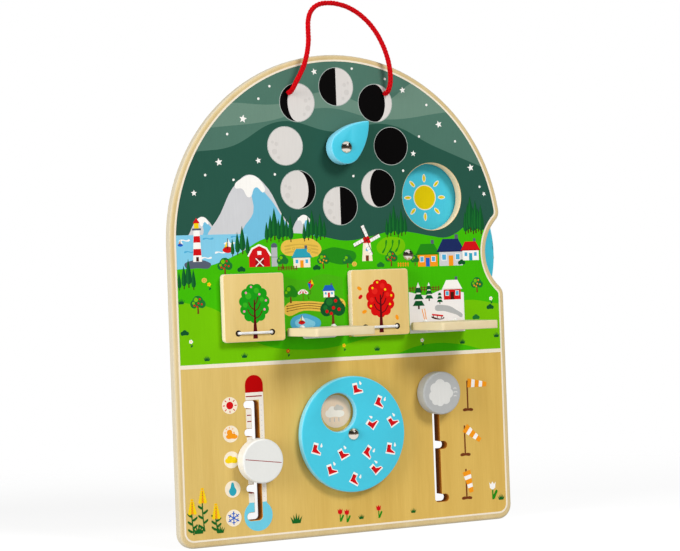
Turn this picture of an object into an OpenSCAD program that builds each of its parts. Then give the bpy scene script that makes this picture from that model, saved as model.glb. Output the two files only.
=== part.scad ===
// Wooden weather board: an arched plywood panel that hangs from a rope, with a moon pointer,
// a day and night disc behind a round window, four season doors on elastic cords,
// a thermometer slider, a rain wheel and a wind slider.
// The panel stands in the XZ plane: its front faces -Y, +Z is up,
// and the origin is the middle of its bottom edge.

/* [Board] */
// Width of the panel, and twice the radius of its arch
board_w = 300; // [290:1:320]
// Height of the panel to the top of its arch
board_h = 386; // [380:1:410]
// Thickness of the plywood
board_t = 9; // [8:0.5:12]
// Radius of the two bottom corners
board_corner_r = 12; // [6:1:20]

/* [Finger notch] */
// Radius of the notch in the right edge
notch_r = 38; // [32:1:46]
// Depth of the notch in from the right edge
notch_depth = 16; // [12:1:20]
// Radius that eases the notch into the edge
notch_ease_r = 10; // [6:1:12]

/* [Day and night disc] */
// Radius of the disc behind the panel
disc_r = 87.5; // [86:0.5:90]
// Thickness of the disc
disc_t = 5; // [4:0.5:8]
// Height of the disc's pivot, and of the middle of the notch
disc_z = 223; // [218:1:228]
// Distance of the disc's rim inside the panel's right edge
disc_rim_inset = 2.5; // [1:0.5:5]
// Radius of the round window
window_r = 27.5; // [22:0.5:29]
// Window's offset to the right of the disc's pivot
window_dx = 24; // [20:1:26]
// Window's offset above the disc's pivot
window_dz = 47.5; // [44:0.5:49]

/* [Moon pointer] */
// Height of the pointer's pivot
moon_z = 310.5; // [305:0.5:320]
// Radius of the pointer's round end
pointer_r = 13.5; // [12:0.5:16]
// Distance from the pivot to the pointer's tip
pointer_reach = 30; // [27:0.5:36]
// Direction of the tip at rest, up from the right
pointer_angle = 45; // [0:1:90]
// Thickness of the pointer
pointer_t = 11; // [7:0.5:12]
// Thickness of the spacer that holds the pointer off the panel
moon_spacer_t = 2.5; // [1:0.25:5]

/* [Rain wheel] */
// Radius of the wheel
wheel_r = 46.5; // [44:0.5:50]
// Thickness of the wheel
wheel_t = 6.5; // [5:0.5:10]
// Height of the wheel's pivot
wheel_z = 80.5; // [78:0.5:84]
// Radius of the hole that shows the weather
wheel_hole_r = 15.5; // [12:0.5:16]
// Hole's offset from the pivot
wheel_hole_reach = 22; // [22:0.5:26]
// Direction of the hole at rest, up from the right
wheel_hole_angle = 125; // [0:1:359]

/* [Rivets] */
// Diameter of the rivets' shanks
rivet_d = 6; // [4:0.5:6.5]
// Diameter of the domed heads
rivet_head_d = 10; // [9:0.5:12]
// Height of the domed heads
rivet_head_h = 3; // [2:0.25:4]
// Diameter of the spacers and washers
washer_d = 12; // [11:0.5:14]
// Thickness of the spacers and washers
washer_t = 1; // [0.5:0.25:2]
// Diameter of the clinched back heads
rivet_back_d = 9; // [8:0.5:10]
// Thickness of the clinched back heads
rivet_back_t = 2; // [1.5:0.25:3]

/* [Season doors] */
// Width of a door
door_w = 52; // [44:1:53]
// Height of a door
door_h = 53.5; // [44:0.5:58]
// Thickness of a door
door_t = 6.5; // [6:0.5:9]
// Distance from one door to the next
door_pitch = 56; // [55:1:58]
// Middle of the row of doors
door_row_x = 1; // [-4:1:4]
// Height of the closed doors' bottom edges
door_z = 158.5; // [150:0.5:160]
// Radius of the doors' corners
door_corner_r = 2.5; // [1:0.5:4]
// Distance of a door's axis from its back face and from its bottom edge
door_pivot = 4.6; // [4:0.1:5.5]
// Distance between the two cord holes of a door
door_hole_gap = 28; // [20:1:34]
// Height of the cord holes above the door's bottom edge
door_hole_z = 7; // [6:0.5:10]

/* [Elastic cords] */
// Diameter of the elastic cord
elastic_d = 2.5; // [2:0.1:3]
// Diameter of the knots in the panel's back
elastic_knot_d = 5.2; // [4.6:0.1:6]
// Length of the knots
elastic_knot_l = 4.2; // [3:0.1:5]

/* [Sliders] */
// Radius of the two knobs
knob_r = 17.5; // [14:0.5:19]
// Thickness of the knobs
knob_t = 12; // [9:0.5:16]
// Radius of the knobs' rounded edges
knob_edge_r = 1.5; // [1:0.5:4]
// Depth of the pin's hole in a knob
knob_socket = 8; // [5:0.5:8]
// Diameter of the pins that run in the slots
pin_d = 5.2; // [4:0.1:5.6]
// Radius of the retaining discs behind the panel
retainer_r = 12; // [9:0.5:14]
// Thickness of the retaining discs
retainer_t = 5; // [4:0.5:8]
// Width of the slots and of their notches
slot_w = 6.2; // [6:0.1:7]
// Distance from a slot's middle to the end of a notch
slot_notch_reach = 6.6; // [5:0.1:8]
// Middle of the thermometer slot
thermometer_x = -82.5; // [-90:0.5:-80]
// Height of the thermometer's lowest notch
thermometer_z = 21; // [18:0.5:24]
// Distance between the thermometer's notches
thermometer_step = 22; // [18:0.5:23]
// Number of the thermometer's notches
thermometer_notches = 5; // [3:2:5]
// Middle of the wind slot
wind_x = 80.2; // [76:0.2:88]
// Height of the wind slot's lowest notch
wind_z = 22; // [18:0.5:24]
// Distance between the wind slot's notches
wind_step = 43.5; // [36:0.5:45]
// Number of the wind slot's notches
wind_notches = 3; // [2:1:3]

/* [Rope] */
// Diameter of the rope
rope_d = 4.5; // [4:0.1:5]
// Diameter of the knots behind the panel
rope_knot_d = 11; // [9:0.5:14]
// Length of the knots
rope_knot_l = 8.5; // [6:0.5:11]

/* [Clearances] */
// Gap between a pivot's shank and its bores, all round
pivot_gap = 0.08; // [0.02:0.01:0.1]
// Play between a turning piece and its washers
face_gap = 0.15; // [0.1:0.05:0.3]
// Gap between a knob or its retaining disc and the panel
slide_gap = 0.4; // [0.3:0.1:0.8]
// Gap between a closed door and the panel
door_gap = 0.5; // [0.4:0.1:1]
// Gap between a cord and its holes, all round
cord_gap = 0.35; // [0.2:0.05:0.5]

/* [Hidden] */
$fn = 96;
front_y = -board_t / 2;
back_y = board_t / 2;
arch_r = board_w / 2;
arch_z = board_h - arch_r;
past = 1;

notch_x = arch_r - notch_depth + notch_r;
disc_x = arch_r - disc_rim_inset - disc_r;
disc_y = back_y + washer_t + face_gap;
window_x = disc_x + window_dx;
window_z = disc_z + window_dz;

turn_y = front_y - washer_t - face_gap;
pointer_y = front_y - moon_spacer_t - face_gap;
pivot_bore_r = rivet_d / 2 + pivot_gap;
wheel_edge_r = 1.2;
disc_edge_r = 0.8;

// Radius of the edge that rolls on the panel, so that it clears the panel at every angle
door_heel_r = door_pivot - 1.6 * door_gap;
door_pivot_y = front_y - door_gap - door_pivot;
door_pivot_z = door_z + door_pivot;
door_count = 4;
door_is_open = [false, true, false, true];
door_hole_r = elastic_d / 2 + cord_gap;
knot_recess_r = elastic_knot_d / 2 + cord_gap;
elastic_lift = 0.05;

thermometer_top = thermometer_z + (thermometer_notches - 1) * thermometer_step;
thermometer_rest = (thermometer_z + thermometer_top) / 2;
wind_top = wind_z + (wind_notches - 1) * wind_step;

rope_hole_r = rope_d / 2 + cord_gap;
rope_sides = 10;
// The rope's free stretch, from the left hole's mouth over the top to the right hole's mouth:
// across, out from the panel's front, and up from its top
rope_route = [
    [-43.5, 0, -31], [-43.5, 3.5, -30.7], [-43, 7, -28.5], [-41.5, 9.3, -24.5],
    [-38.5, 10, -19], [-34.5, 9.7, -12], [-31.5, 9, -5], [-29, 8, 3],
    [-27.5, 7, 11], [-27, 6, 19], [-26, 5, 27], [-23, 4.3, 34],
    [-17, 3.8, 39], [-8, 3.5, 41], [4, 3.5, 40], [15, 3.9, 36],
    [25, 4.7, 29], [33, 5.6, 20], [38.7, 6.4, 10], [42.6, 7.2, -0.5],
    [44.5, 7.8, -10], [45, 8, -18.5], [44.6, 7.5, -24.5], [43.9, 6, -28.5],
    [43.5, 3.5, -30.7], [43.5, 0, -31]
];
rope_path = [for (p = rope_route) [p[0], front_y - p[1], board_h + p[2]]];
rope_ends = [rope_path[0], rope_path[len(rope_path) - 1]];
// A direction that the rope never runs along, from which its sides are counted
rope_side = [0, 0.6, 0.8];

function unit(v) = v / norm(v);

// The crossing, on the side of +sign, of the circles (a, ra) and (b, rb)
function circles_meet(a, ra, b, rb, sign) =
    let (d = norm(b - a),
         along = (ra * ra - rb * rb + d * d) / (2 * d),
         aside = sqrt(ra * ra - along * along),
         u = unit(b - a))
    a + along * u + sign * aside * [-u[1], u[0]];

function door_x(i) = door_row_x + (i - (door_count - 1) / 2) * door_pitch;

// A flat shape drawn in X and Z, thick from y to y + t
module plate(y, t) {
    translate([0, y + t, 0]) rotate([90, 0, 0]) linear_extrude(t) children();
}

// A round bar or drill along Y at x, z
module bar_y(x, z, r, y0, y1) {
    translate([x, y0, z]) rotate([-90, 0, 0]) cylinder(r = r, h = y1 - y0);
}

// A turned shape about the Y axis at x, z, from a profile of radius and y
module turned(x, z) {
    translate([x, 0, z]) rotate([-90, 0, 0]) rotate_extrude() children();
}

// Half the section of a round disc from y to y + t, with rounded edges
module disc_section(r, y, t, edge) {
    translate([0, y]) square([r - edge, t]);
    translate([0, y + edge]) square([r, t - 2 * edge]);
    for (side = [y + edge, y + t - edge]) {
        translate([r - edge, side]) circle(edge);
    }
}

module rounded_rect(w, h, r) {
    square([w - 2 * r, h], center = true);
    square([w, h - 2 * r], center = true);
    for (x = [-1, 1], y = [-1, 1]) {
        translate([x * (w / 2 - r), y * (h / 2 - r)]) circle(r);
    }
}

// The panel's outline without its notch
module arch_outline() {
    translate([0, arch_z]) circle(arch_r, $fn = 240);
    translate([-arch_r, board_corner_r]) square([board_w, arch_z - board_corner_r]);
    translate([-arch_r + board_corner_r, 0]) square([board_w - 2 * board_corner_r, arch_z]);
    for (side = [-1, 1]) {
        translate([side * (arch_r - board_corner_r), board_corner_r]) circle(board_corner_r);
    }
}

// Wood to cut off so that the edge, touched at edge_point, rolls into the notch on a radius round c
module notch_ease(c, edge_point) {
    n = [notch_x, disc_z];
    notch_point = c + notch_ease_r * unit(n - c);
    tip = c + 2 * notch_ease_r * unit(unit(edge_point - c) + unit(n - c));
    difference() {
        polygon([c, edge_point, tip, notch_point]);
        translate(c) circle(notch_ease_r);
    }
}

module finger_notch() {
    n = [notch_x, disc_z];
    reach = notch_r + notch_ease_r;
    arch_c = [0, arch_z];
    upper = circles_meet(arch_c, arch_r - notch_ease_r, n, reach, 1);
    lower_x = arch_r - notch_ease_r;
    lower = [lower_x, disc_z - sqrt(reach * reach - (notch_x - lower_x) * (notch_x - lower_x))];
    translate(n) circle(notch_r, $fn = 160);
    notch_ease(upper, arch_c + arch_r * unit(upper - arch_c));
    notch_ease(lower, lower + [notch_ease_r, 0]);
}

// A straight slot with round ends, between two points in X and Z
module slot(a, b) {
    d = b - a;
    translate(a) rotate(atan2(d[1], d[0])) translate([0, -slot_w / 2]) square([norm(d), slot_w]);
    translate(a) circle(slot_w / 2);
    translate(b) circle(slot_w / 2);
}

// A slider's slot: one upright channel, with notches to one side
module slider_slot(x, z, step, count, side) {
    slot([x, z], [x, z + (count - 1) * step]);
    for (i = [0 : count - 1]) {
        slot([x, z + i * step], [x + side * slot_notch_reach, z + i * step]);
    }
}

module board() {
    color("tan") difference() {
        plate(front_y, board_t) difference() {
            arch_outline();
            finger_notch();
            translate([window_x, window_z]) circle(window_r);
            slider_slot(thermometer_x, thermometer_z, thermometer_step, thermometer_notches, -1);
            slider_slot(wind_x, wind_z, wind_step, wind_notches, 1);
        }
        for (p = [[0, moon_z], [0, wheel_z], [disc_x, disc_z]]) {
            bar_y(p[0], p[1], pivot_bore_r, front_y - past, back_y + past);
        }
        for (p = rope_ends) {
            bar_y(p[0], p[2], rope_hole_r, front_y - past, back_y + past);
        }
        for (i = [0 : door_count - 1], side = [-1, 1]) {
            x = door_x(i) + side * door_hole_gap / 2;
            bar_y(x, door_z + door_hole_z, door_hole_r, front_y - past, back_y + past);
            bar_y(x, door_z + door_hole_z, knot_recess_r, back_y - elastic_knot_l - cord_gap, back_y + past);
        }
    }
}

// A tube swept along a list of points, square to the panel at both ends
module tube(path, r, sides) {
    last = len(path) - 1;
    function ahead(i) = i == 0 ? [0, -1, 0] : i == last ? [0, 1, 0] : unit(path[i + 1] - path[i - 1]);
    function across(i) = unit(cross(ahead(i), rope_side));
    function ring(i) =
        let (u = across(i), w = cross(ahead(i), u))
        [for (k = [0 : sides - 1]) path[i] + r * (u * cos(360 * k / sides) + w * sin(360 * k / sides))];
    points = [for (i = [0 : last]) each ring(i)];
    walls = [for (i = [0 : last - 1], k = [0 : sides - 1])
        let (a = i * sides + k, b = i * sides + (k + 1) % sides)
        each [[a, a + sides, b], [b, a + sides, b + sides]]];
    first_cap = [for (k = [1 : sides - 2]) [0, k, k + 1]];
    last_cap = [for (k = [1 : sides - 2]) [last * sides, last * sides + k + 1, last * sides + k]];
    polyhedron(points, concat(walls, first_cap, last_cap));
}

module rope_loop() {
    color("red") tube(rope_path, rope_d / 2, rope_sides);
}

// One end of the rope: its stretch through the panel and the knot behind
module rope_knot(end) {
    color("red") turned(end[0], end[2]) {
        translate([0, front_y]) square([rope_d / 2, board_t + past]);
        disc_section(rope_knot_d / 2, back_y, rope_knot_l, min(rope_knot_d, rope_knot_l) / 4);
    }
}

module rope_knot_left() { rope_knot(rope_ends[0]); }
module rope_knot_right() { rope_knot(rope_ends[1]); }

// A rivet whose domed head bears at head_y and whose clinched head lies behind tail_y
module rivet(x, z, head_y, tail_y) {
    head_r = rivet_head_d / 2;
    dome_r = (head_r * head_r + rivet_head_h * rivet_head_h) / (2 * rivet_head_h);
    color("silver") turned(x, z) {
        intersection() {
            translate([0, head_y - rivet_head_h]) square([head_r, rivet_head_h]);
            translate([0, head_y - rivet_head_h + dome_r]) circle(dome_r);
        }
        translate([0, head_y]) square([rivet_d / 2, tail_y - head_y]);
        translate([0, tail_y]) square([rivet_back_d / 2, rivet_back_t]);
    }
}

// A flat ring round a rivet, from y to y + t
module washer(x, z, y, t = washer_t) {
    color("gainsboro") difference() {
        bar_y(x, z, washer_d / 2, y, y + t);
        bar_y(x, z, pivot_bore_r, y - past, y + t + past);
    }
}

// The pointer's flat shape: a round end drawn out to a tip by two shallow arcs
module drop_outline() {
    touch_angle = 84;
    rise = (pointer_reach * pointer_reach - pointer_r * pointer_r)
        / (2 * (pointer_r - pointer_reach * cos(touch_angle)));
    side_r = rise + pointer_r;
    circle(pointer_r);
    intersection() {
        translate([pointer_r * cos(touch_angle), -pointer_reach])
            square([pointer_reach, 2 * pointer_reach]);
        drop_side(rise, side_r, touch_angle, 1);
        drop_side(rise, side_r, touch_angle, -1);
    }
}

// One of the pointer's two shallow arcs, as a large circle
module drop_side(rise, side_r, touch_angle, side) {
    translate([-rise * cos(touch_angle), -side * rise * sin(touch_angle)]) circle(side_r, $fn = 240);
}

module moon_pointer() {
    color("deepskyblue") difference() {
        plate(pointer_y - pointer_t, pointer_t)
            translate([0, moon_z]) rotate(pointer_angle) drop_outline();
        bar_y(0, moon_z, pivot_bore_r, pointer_y - pointer_t - past, pointer_y + past);
    }
}

module moon_rivet() { rivet(0, moon_z, pointer_y - pointer_t - face_gap, back_y + washer_t); }
module moon_spacer() { washer(0, moon_z, front_y - moon_spacer_t, moon_spacer_t); }
module moon_washer() { washer(0, moon_z, back_y); }

module day_night_disc() {
    color("skyblue") difference() {
        turned(disc_x, disc_z) disc_section(disc_r, disc_y, disc_t, disc_edge_r);
        bar_y(disc_x, disc_z, pivot_bore_r, disc_y - past, disc_y + disc_t + past);
    }
}

module disc_rivet() { rivet(disc_x, disc_z, front_y, disc_y + disc_t + face_gap + washer_t); }
module disc_spacer() { washer(disc_x, disc_z, back_y); }
module disc_washer() { washer(disc_x, disc_z, disc_y + disc_t + face_gap); }

module rain_wheel() {
    hole = wheel_hole_reach * [cos(wheel_hole_angle), sin(wheel_hole_angle)];
    color("deepskyblue") difference() {
        turned(0, wheel_z) disc_section(wheel_r, turn_y - wheel_t, wheel_t, wheel_edge_r);
        bar_y(hole[0], wheel_z + hole[1], wheel_hole_r, turn_y - wheel_t - past, turn_y + past);
        bar_y(0, wheel_z, pivot_bore_r, turn_y - wheel_t - past, turn_y + past);
    }
}

module rain_rivet() { rivet(0, wheel_z, turn_y - wheel_t - face_gap, back_y + washer_t); }
module rain_spacer() { washer(0, wheel_z, front_y - washer_t); }
module rain_washer() { washer(0, wheel_z, back_y); }

// Puts a piece drawn round a closed door's axis where door i stands at rest
module at_door(i) {
    translate([door_x(i), door_pivot_y, door_pivot_z]) rotate([door_is_open[i] ? 90 : 0, 0, 0]) children();
}

// A door round its own axis: upright, its back at y = door_pivot, its bottom at z = -door_pivot
module door(i) {
    color("burlywood") at_door(i) difference() {
        intersection() {
            rotate([90, 0, 90]) linear_extrude(door_w, center = true) door_section();
            translate([0, 0, door_h / 2 - door_pivot]) plate(door_pivot - door_t, door_t)
                rounded_rect(door_w, door_h, door_corner_r);
        }
        for (side = [-1, 1]) {
            bar_y(side * door_hole_gap / 2, door_hole_z - door_pivot, door_hole_r,
                  door_pivot - door_t - past, door_pivot + past);
        }
    }
}

// A door's end view, with the rounded heel at the back of its bottom edge
module door_section() {
    heel = door_pivot - door_heel_r;
    translate([door_pivot - door_t, -door_pivot]) square([door_t - door_heel_r, door_h]);
    translate([door_pivot - door_t, -heel]) square([door_t, door_h - door_heel_r]);
    translate([heel, -heel]) circle(door_heel_r);
}

module spring_door() { door(0); }
module summer_door() { door(1); }
module autumn_door() { door(2); }
module winter_door() { door(3); }

// The elastic cord on a door: a run across its front and two legs through its holes
module elastic(i) {
    r = elastic_d / 2;
    z = door_hole_z - door_pivot;
    y = door_pivot - door_t - r - elastic_lift;
    color("white") at_door(i) {
        translate([-door_hole_gap / 2, y, z]) rotate([0, 90, 0])
            cylinder(r = r, h = door_hole_gap, $fn = 32);
        for (side = [-1, 1]) {
            translate([side * door_hole_gap / 2, y, z]) sphere(r, $fn = 32);
            bar_y(side * door_hole_gap / 2, z, r, y, door_pivot, $fn = 32);
        }
    }
}

module spring_elastic() { elastic(0); }
module summer_elastic() { elastic(1); }
module autumn_elastic() { elastic(2); }
module winter_elastic() { elastic(3); }

// The cord's two ends in the panel: a leg through the wood and a knot sunk in its back
module elastic_ends(i) {
    knot_y = back_y - elastic_knot_l - cord_gap;
    for (side = [-1, 1]) {
        color("white") turned(door_x(i) + side * door_hole_gap / 2, door_z + door_hole_z) {
            translate([0, front_y]) square([elastic_d / 2, board_t - elastic_knot_l / 2]);
            disc_section(elastic_knot_d / 2, knot_y, elastic_knot_l, elastic_knot_l / 4);
        }
    }
}

module spring_elastic_ends() { elastic_ends(0); }
module summer_elastic_ends() { elastic_ends(1); }
module autumn_elastic_ends() { elastic_ends(2); }
module winter_elastic_ends() { elastic_ends(3); }

// A knob in front of the panel, with a blind hole in its back for the pin
module knob(x, z, colour) {
    y = front_y - slide_gap;
    color(colour) difference() {
        turned(x, z) disc_section(knob_r, y - knob_t, knob_t, knob_edge_r);
        bar_y(x, z, pin_d / 2, y - knob_socket, y + past);
    }
}

// The pin that joins a knob, through the slot, to its retaining disc
module slider_pin(x, z) {
    color("wheat")
        bar_y(x, z, pin_d / 2, front_y - slide_gap - knob_socket, back_y + slide_gap + retainer_t);
}

module retainer(x, z) {
    y = back_y + slide_gap;
    color("burlywood") difference() {
        turned(x, z) disc_section(retainer_r, y, retainer_t, disc_edge_r);
        bar_y(x, z, pin_d / 2, y - past, y + retainer_t + past);
    }
}

module thermometer_knob() { knob(thermometer_x, thermometer_rest, "whitesmoke"); }
module thermometer_pin() { slider_pin(thermometer_x, thermometer_rest); }
module thermometer_retainer() { retainer(thermometer_x, thermometer_rest); }

module wind_knob() { knob(wind_x, wind_top, "lightgrey"); }
module wind_pin() { slider_pin(wind_x, wind_top); }
module wind_retainer() { retainer(wind_x, wind_top); }

board();
rope_loop();
rope_knot_left();
rope_knot_right();
moon_pointer();
moon_rivet();
moon_spacer();
moon_washer();
day_night_disc();
disc_rivet();
disc_spacer();
disc_washer();
rain_wheel();
rain_rivet();
rain_spacer();
rain_washer();
spring_door();
summer_door();
autumn_door();
winter_door();
spring_elastic();
summer_elastic();
autumn_elastic();
winter_elastic();
spring_elastic_ends();
summer_elastic_ends();
autumn_elastic_ends();
winter_elastic_ends();
thermometer_knob();
thermometer_pin();
thermometer_retainer();
wind_knob();
wind_pin();
wind_retainer();
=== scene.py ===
import copy
import math

import bmesh
import bpy
from mathutils import Matrix, Vector


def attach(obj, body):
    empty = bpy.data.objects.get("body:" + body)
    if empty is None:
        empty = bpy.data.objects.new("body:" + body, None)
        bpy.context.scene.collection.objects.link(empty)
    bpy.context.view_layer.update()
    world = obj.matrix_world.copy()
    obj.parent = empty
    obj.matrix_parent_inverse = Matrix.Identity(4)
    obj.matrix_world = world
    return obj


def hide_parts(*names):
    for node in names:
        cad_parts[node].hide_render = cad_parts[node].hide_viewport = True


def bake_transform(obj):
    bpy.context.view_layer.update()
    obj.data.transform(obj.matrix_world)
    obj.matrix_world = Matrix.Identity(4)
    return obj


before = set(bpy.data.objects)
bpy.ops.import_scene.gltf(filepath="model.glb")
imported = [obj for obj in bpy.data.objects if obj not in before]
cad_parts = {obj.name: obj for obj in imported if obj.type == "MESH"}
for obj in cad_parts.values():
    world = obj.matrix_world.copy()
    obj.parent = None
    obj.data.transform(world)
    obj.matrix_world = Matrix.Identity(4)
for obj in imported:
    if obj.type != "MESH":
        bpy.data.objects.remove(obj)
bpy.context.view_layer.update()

# Camera: it stands to the left of the panel, a little above its middle, on a long lens,
# and leans a touch to one side as the photograph does.
MM = 0.001
PHOTO_WIDTH_PX = 680
SENSOR_WIDTH_MM = 36
FOCAL_PX = 2052.2
CAMERA_PLACE = (-749.0, -1478.74, 203.75)
CAMERA_YAW, CAMERA_PITCH, CAMERA_ROLL = 0.46825, -0.0026, 0.03614

camera = bpy.data.objects.new("camera", bpy.data.cameras.new("camera"))
bpy.context.scene.collection.objects.link(camera)
bpy.context.scene.camera = camera
camera.data.sensor_fit = "HORIZONTAL"
camera.data.sensor_width = SENSOR_WIDTH_MM
camera.data.lens = FOCAL_PX / PHOTO_WIDTH_PX * SENSOR_WIDTH_MM
camera.data.clip_start = 0.1
camera.data.clip_end = 30
camera.matrix_world = (
    Matrix.Translation(Vector(CAMERA_PLACE) * MM)
    @ Matrix.Rotation(-CAMERA_YAW, 4, "Z")
    @ Matrix.Rotation(math.pi / 2 - CAMERA_PITCH, 4, "X")
    @ Matrix.Rotation(-CAMERA_ROLL, 4, "Z")
)
bpy.context.scene.view_settings.view_transform = "Standard"


# Studio: a soft key lamp high on the right, a broad fill on the left, white all round,
# and a round of pale floor that fades out into the white, with painted shade darkening it a little behind
# the board.
class Socket:
    """A socket of a node tree: sums on it add Math nodes, and node() adds any other node."""

    def __init__(self, socket):
        self.socket = socket

    def node(self, kind, inputs=None, output=0, stops=None, **settings):
        tree = self.socket.id_data
        made = tree.nodes.new("ShaderNode" + kind)
        for name, setting in settings.items():
            setattr(made, name, setting)
        if stops:
            ramp = made.color_ramp.elements
            while len(ramp) < len(stops):
                ramp.new(1)
            for element, (position, value) in zip(ramp, stops):
                element.position = position
                element.color = value
        for name, value in (inputs or {}).items():
            if isinstance(value, Socket):
                tree.links.new(value.socket, made.inputs[name])
            else:
                made.inputs[name].default_value = value
        return Socket(made.outputs[output])

    def math(self, operation, first, second=0.0):
        return self.node("Math", {0: first, 1: second}, operation=operation)

    def mix(self, first, second):
        return self.node("Mix", {0: self, 6: first, 7: second}, output=2, data_type="RGBA")

    def __add__(self, other):
        return self.math("ADD", self, other)

    def __radd__(self, other):
        return self.math("ADD", other, self)

    def __sub__(self, other):
        return self.math("SUBTRACT", self, other)

    def __rsub__(self, other):
        return self.math("SUBTRACT", other, self)

    def __mul__(self, other):
        return self.math("MULTIPLY", self, other)

    def __rmul__(self, other):
        return self.math("MULTIPLY", other, self)

    def __truediv__(self, other):
        return self.math("DIVIDE", self, other)

    def __gt__(self, other):
        return self.math("GREATER_THAN", self, other)

    def __lt__(self, other):
        return self.math("LESS_THAN", self, other)

    def __abs__(self):
        return self.math("ABSOLUTE", self)


def lamp(name, place, target, size, power):
    light = bpy.data.lights.new(name, "AREA")
    light.size = size
    light.energy = power
    holder = bpy.data.objects.new(name, light)
    bpy.context.scene.collection.objects.link(holder)
    holder.location = place
    holder.rotation_euler = (Vector(target) - Vector(place)).to_track_quat("-Z", "Y").to_euler()
    return holder


BOARD_MIDDLE = (0, 0, 0.2)
lamp("key", (0.55, -1.8, 1.55), BOARD_MIDDLE, size=0.75, power=31.5)
lamp("fill", (-2.0, -0.45, 0.6), BOARD_MIDDLE, size=1.2, power=36).visible_glossy = False


def finish(name, **constants):
    """A new material, with its shader's constant values set, and its Object coordinates."""
    material = bpy.data.materials.new(name)
    material.use_nodes = True
    for socket, value in constants.items():
        material.node_tree.nodes["Principled BSDF"].inputs[socket.replace("_", " ")].default_value = value
    return material, Socket(material.node_tree.nodes.new("ShaderNodeTexCoord").outputs["Object"])


def feed(material, **values):
    """Links what changes over the surface to the material's shader."""
    tree = material.node_tree
    for name, value in values.items():
        tree.links.new(value.socket, tree.nodes["Principled BSDF"].inputs[name.replace("_", " ")])


def meshed(name, shape):
    mesh = bpy.data.meshes.new(name)
    shape.to_mesh(mesh)
    shape.free()
    return mesh


def staged(name, shape, material):
    """Puts a piece of the studio, which is no piece of the board, in the scene."""
    piece = bpy.data.objects.new(name, meshed(name, shape))
    piece.data.materials.append(material)
    bpy.context.scene.collection.objects.link(piece)
    return piece


# Painted reflection: a dark band, black with a brown stripe, standing in for a dark room in front of the
# table; only shiny surfaces show it
ROOM_RADIUS = 1.2
ROOM_LOW, ROOM_HIGH, ROOM_RISES = -32, 50, 12
ROOM_LEFT, ROOM_RIGHT, ROOM_TURNS = -100, 115, 32
REFLECTED_BLACK, REFLECTED_BROWN = (0.01, 0.008, 0.006, 1), (0.16, 0.12, 0.08, 1)
room = bmesh.new()
left = math.radians(ROOM_LEFT)
rib = []
for k in range(ROOM_RISES + 1):
    rise = math.radians(ROOM_LOW + (ROOM_HIGH - ROOM_LOW) * k / ROOM_RISES)
    reach = ROOM_RADIUS * math.cos(rise)
    place = (reach * math.sin(left), -reach * math.cos(left), ROOM_RADIUS * math.sin(rise))
    rib.append(room.verts.new(place))
rib_edges = [room.edges.new(pair) for pair in zip(rib, rib[1:])]
bmesh.ops.spin(room, geom=rib + rib_edges, cent=(0, 0, 0), axis=(0, 0, 1),
               angle=math.radians(ROOM_RIGHT - ROOM_LEFT), steps=ROOM_TURNS)
bmesh.ops.translate(room, verts=room.verts, vec=BOARD_MIDDLE)
painted_reflection_dark, room_place = finish("painted reflection dark")
reflection_stripe_height = room_place.node("SeparateXYZ", {0: room_place}, output=2)
reflection_stripe_height = reflection_stripe_height.node("MapRange", {0: reflection_stripe_height, 1: -0.5, 2: 1.1})
# The band's painted reflection: black, with a brown stripe at middle height
feed(painted_reflection_dark, Base_Color=reflection_stripe_height.node("ValToRGB", {0: reflection_stripe_height}, stops=[
    (0.28, REFLECTED_BLACK), (0.38, REFLECTED_BROWN), (0.5, REFLECTED_BROWN), (0.6, REFLECTED_BLACK)]))
painted_reflection_band = staged("painted_reflection_band", room, painted_reflection_dark)
painted_reflection_band.visible_camera = False
painted_reflection_band.visible_shadow = False
painted_reflection_band.visible_diffuse = False


def looked_at(tree):
    """1 for the rays that show the background itself: to the camera, or by way of metal or glass."""
    rays = tree.nodes.new("ShaderNodeLightPath")
    seen = Socket(rays.outputs["Is Camera Ray"])
    for kind in ("Is Glossy Ray", "Is Transmission Ray"):
        seen = seen.math("MAXIMUM", seen, Socket(rays.outputs[kind]))
    return seen


AMBIENT = 0.36
world = bpy.data.worlds.new("studio")
bpy.context.scene.world = world
world.use_nodes = True
surround = world.node_tree.nodes["Background"]
surround.inputs["Color"].default_value = (1, 1, 1, 1)
white_share = looked_at(world.node_tree) * (1 - AMBIENT) + AMBIENT
world.node_tree.links.new(white_share.socket, surround.inputs["Strength"])

FLOOR_RADIUS = 1.1
FLOOR_DROP = 0.3 * MM
FADE_FROM, FADE_TO = 0.45, FLOOR_RADIUS * 0.95
FLOOR_SEEN, FLOOR_BOUNCE = 0.875, 0.46
# Painted shade on the floor: a little darker a short way behind the board, by distance along the view
PAINTED_SHADE_BEHIND = ((0.03, 1), (0.12, 0.95), (0.26, 0.93), (0.8, 1))
ground = bmesh.new()
bmesh.ops.create_circle(ground, cap_ends=True, segments=96, radius=FLOOR_RADIUS)
bmesh.ops.translate(ground, verts=ground.verts, vec=(0, 0, -FLOOR_DROP))
floor_paper, floor_place = finish("floor paper", Base_Color=(0.2, 0.2, 0.2, 1), Roughness=0.9,
                                  Specular_IOR_Level=0.0)
floor_tree = floor_paper.node_tree
from_middle = floor_place.node("VectorMath", {0: floor_place}, output=1, operation="LENGTH")
fade = from_middle.node("MapRange", {0: from_middle, 1: FADE_FROM, 2: FADE_TO},
                        interpolation_type="SMOOTHSTEP")
away = floor_place.node("VectorMath", {0: floor_place, 1: (math.sin(CAMERA_YAW), math.cos(CAMERA_YAW), 0)},
                        output=1, operation="DOT_PRODUCT")
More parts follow.
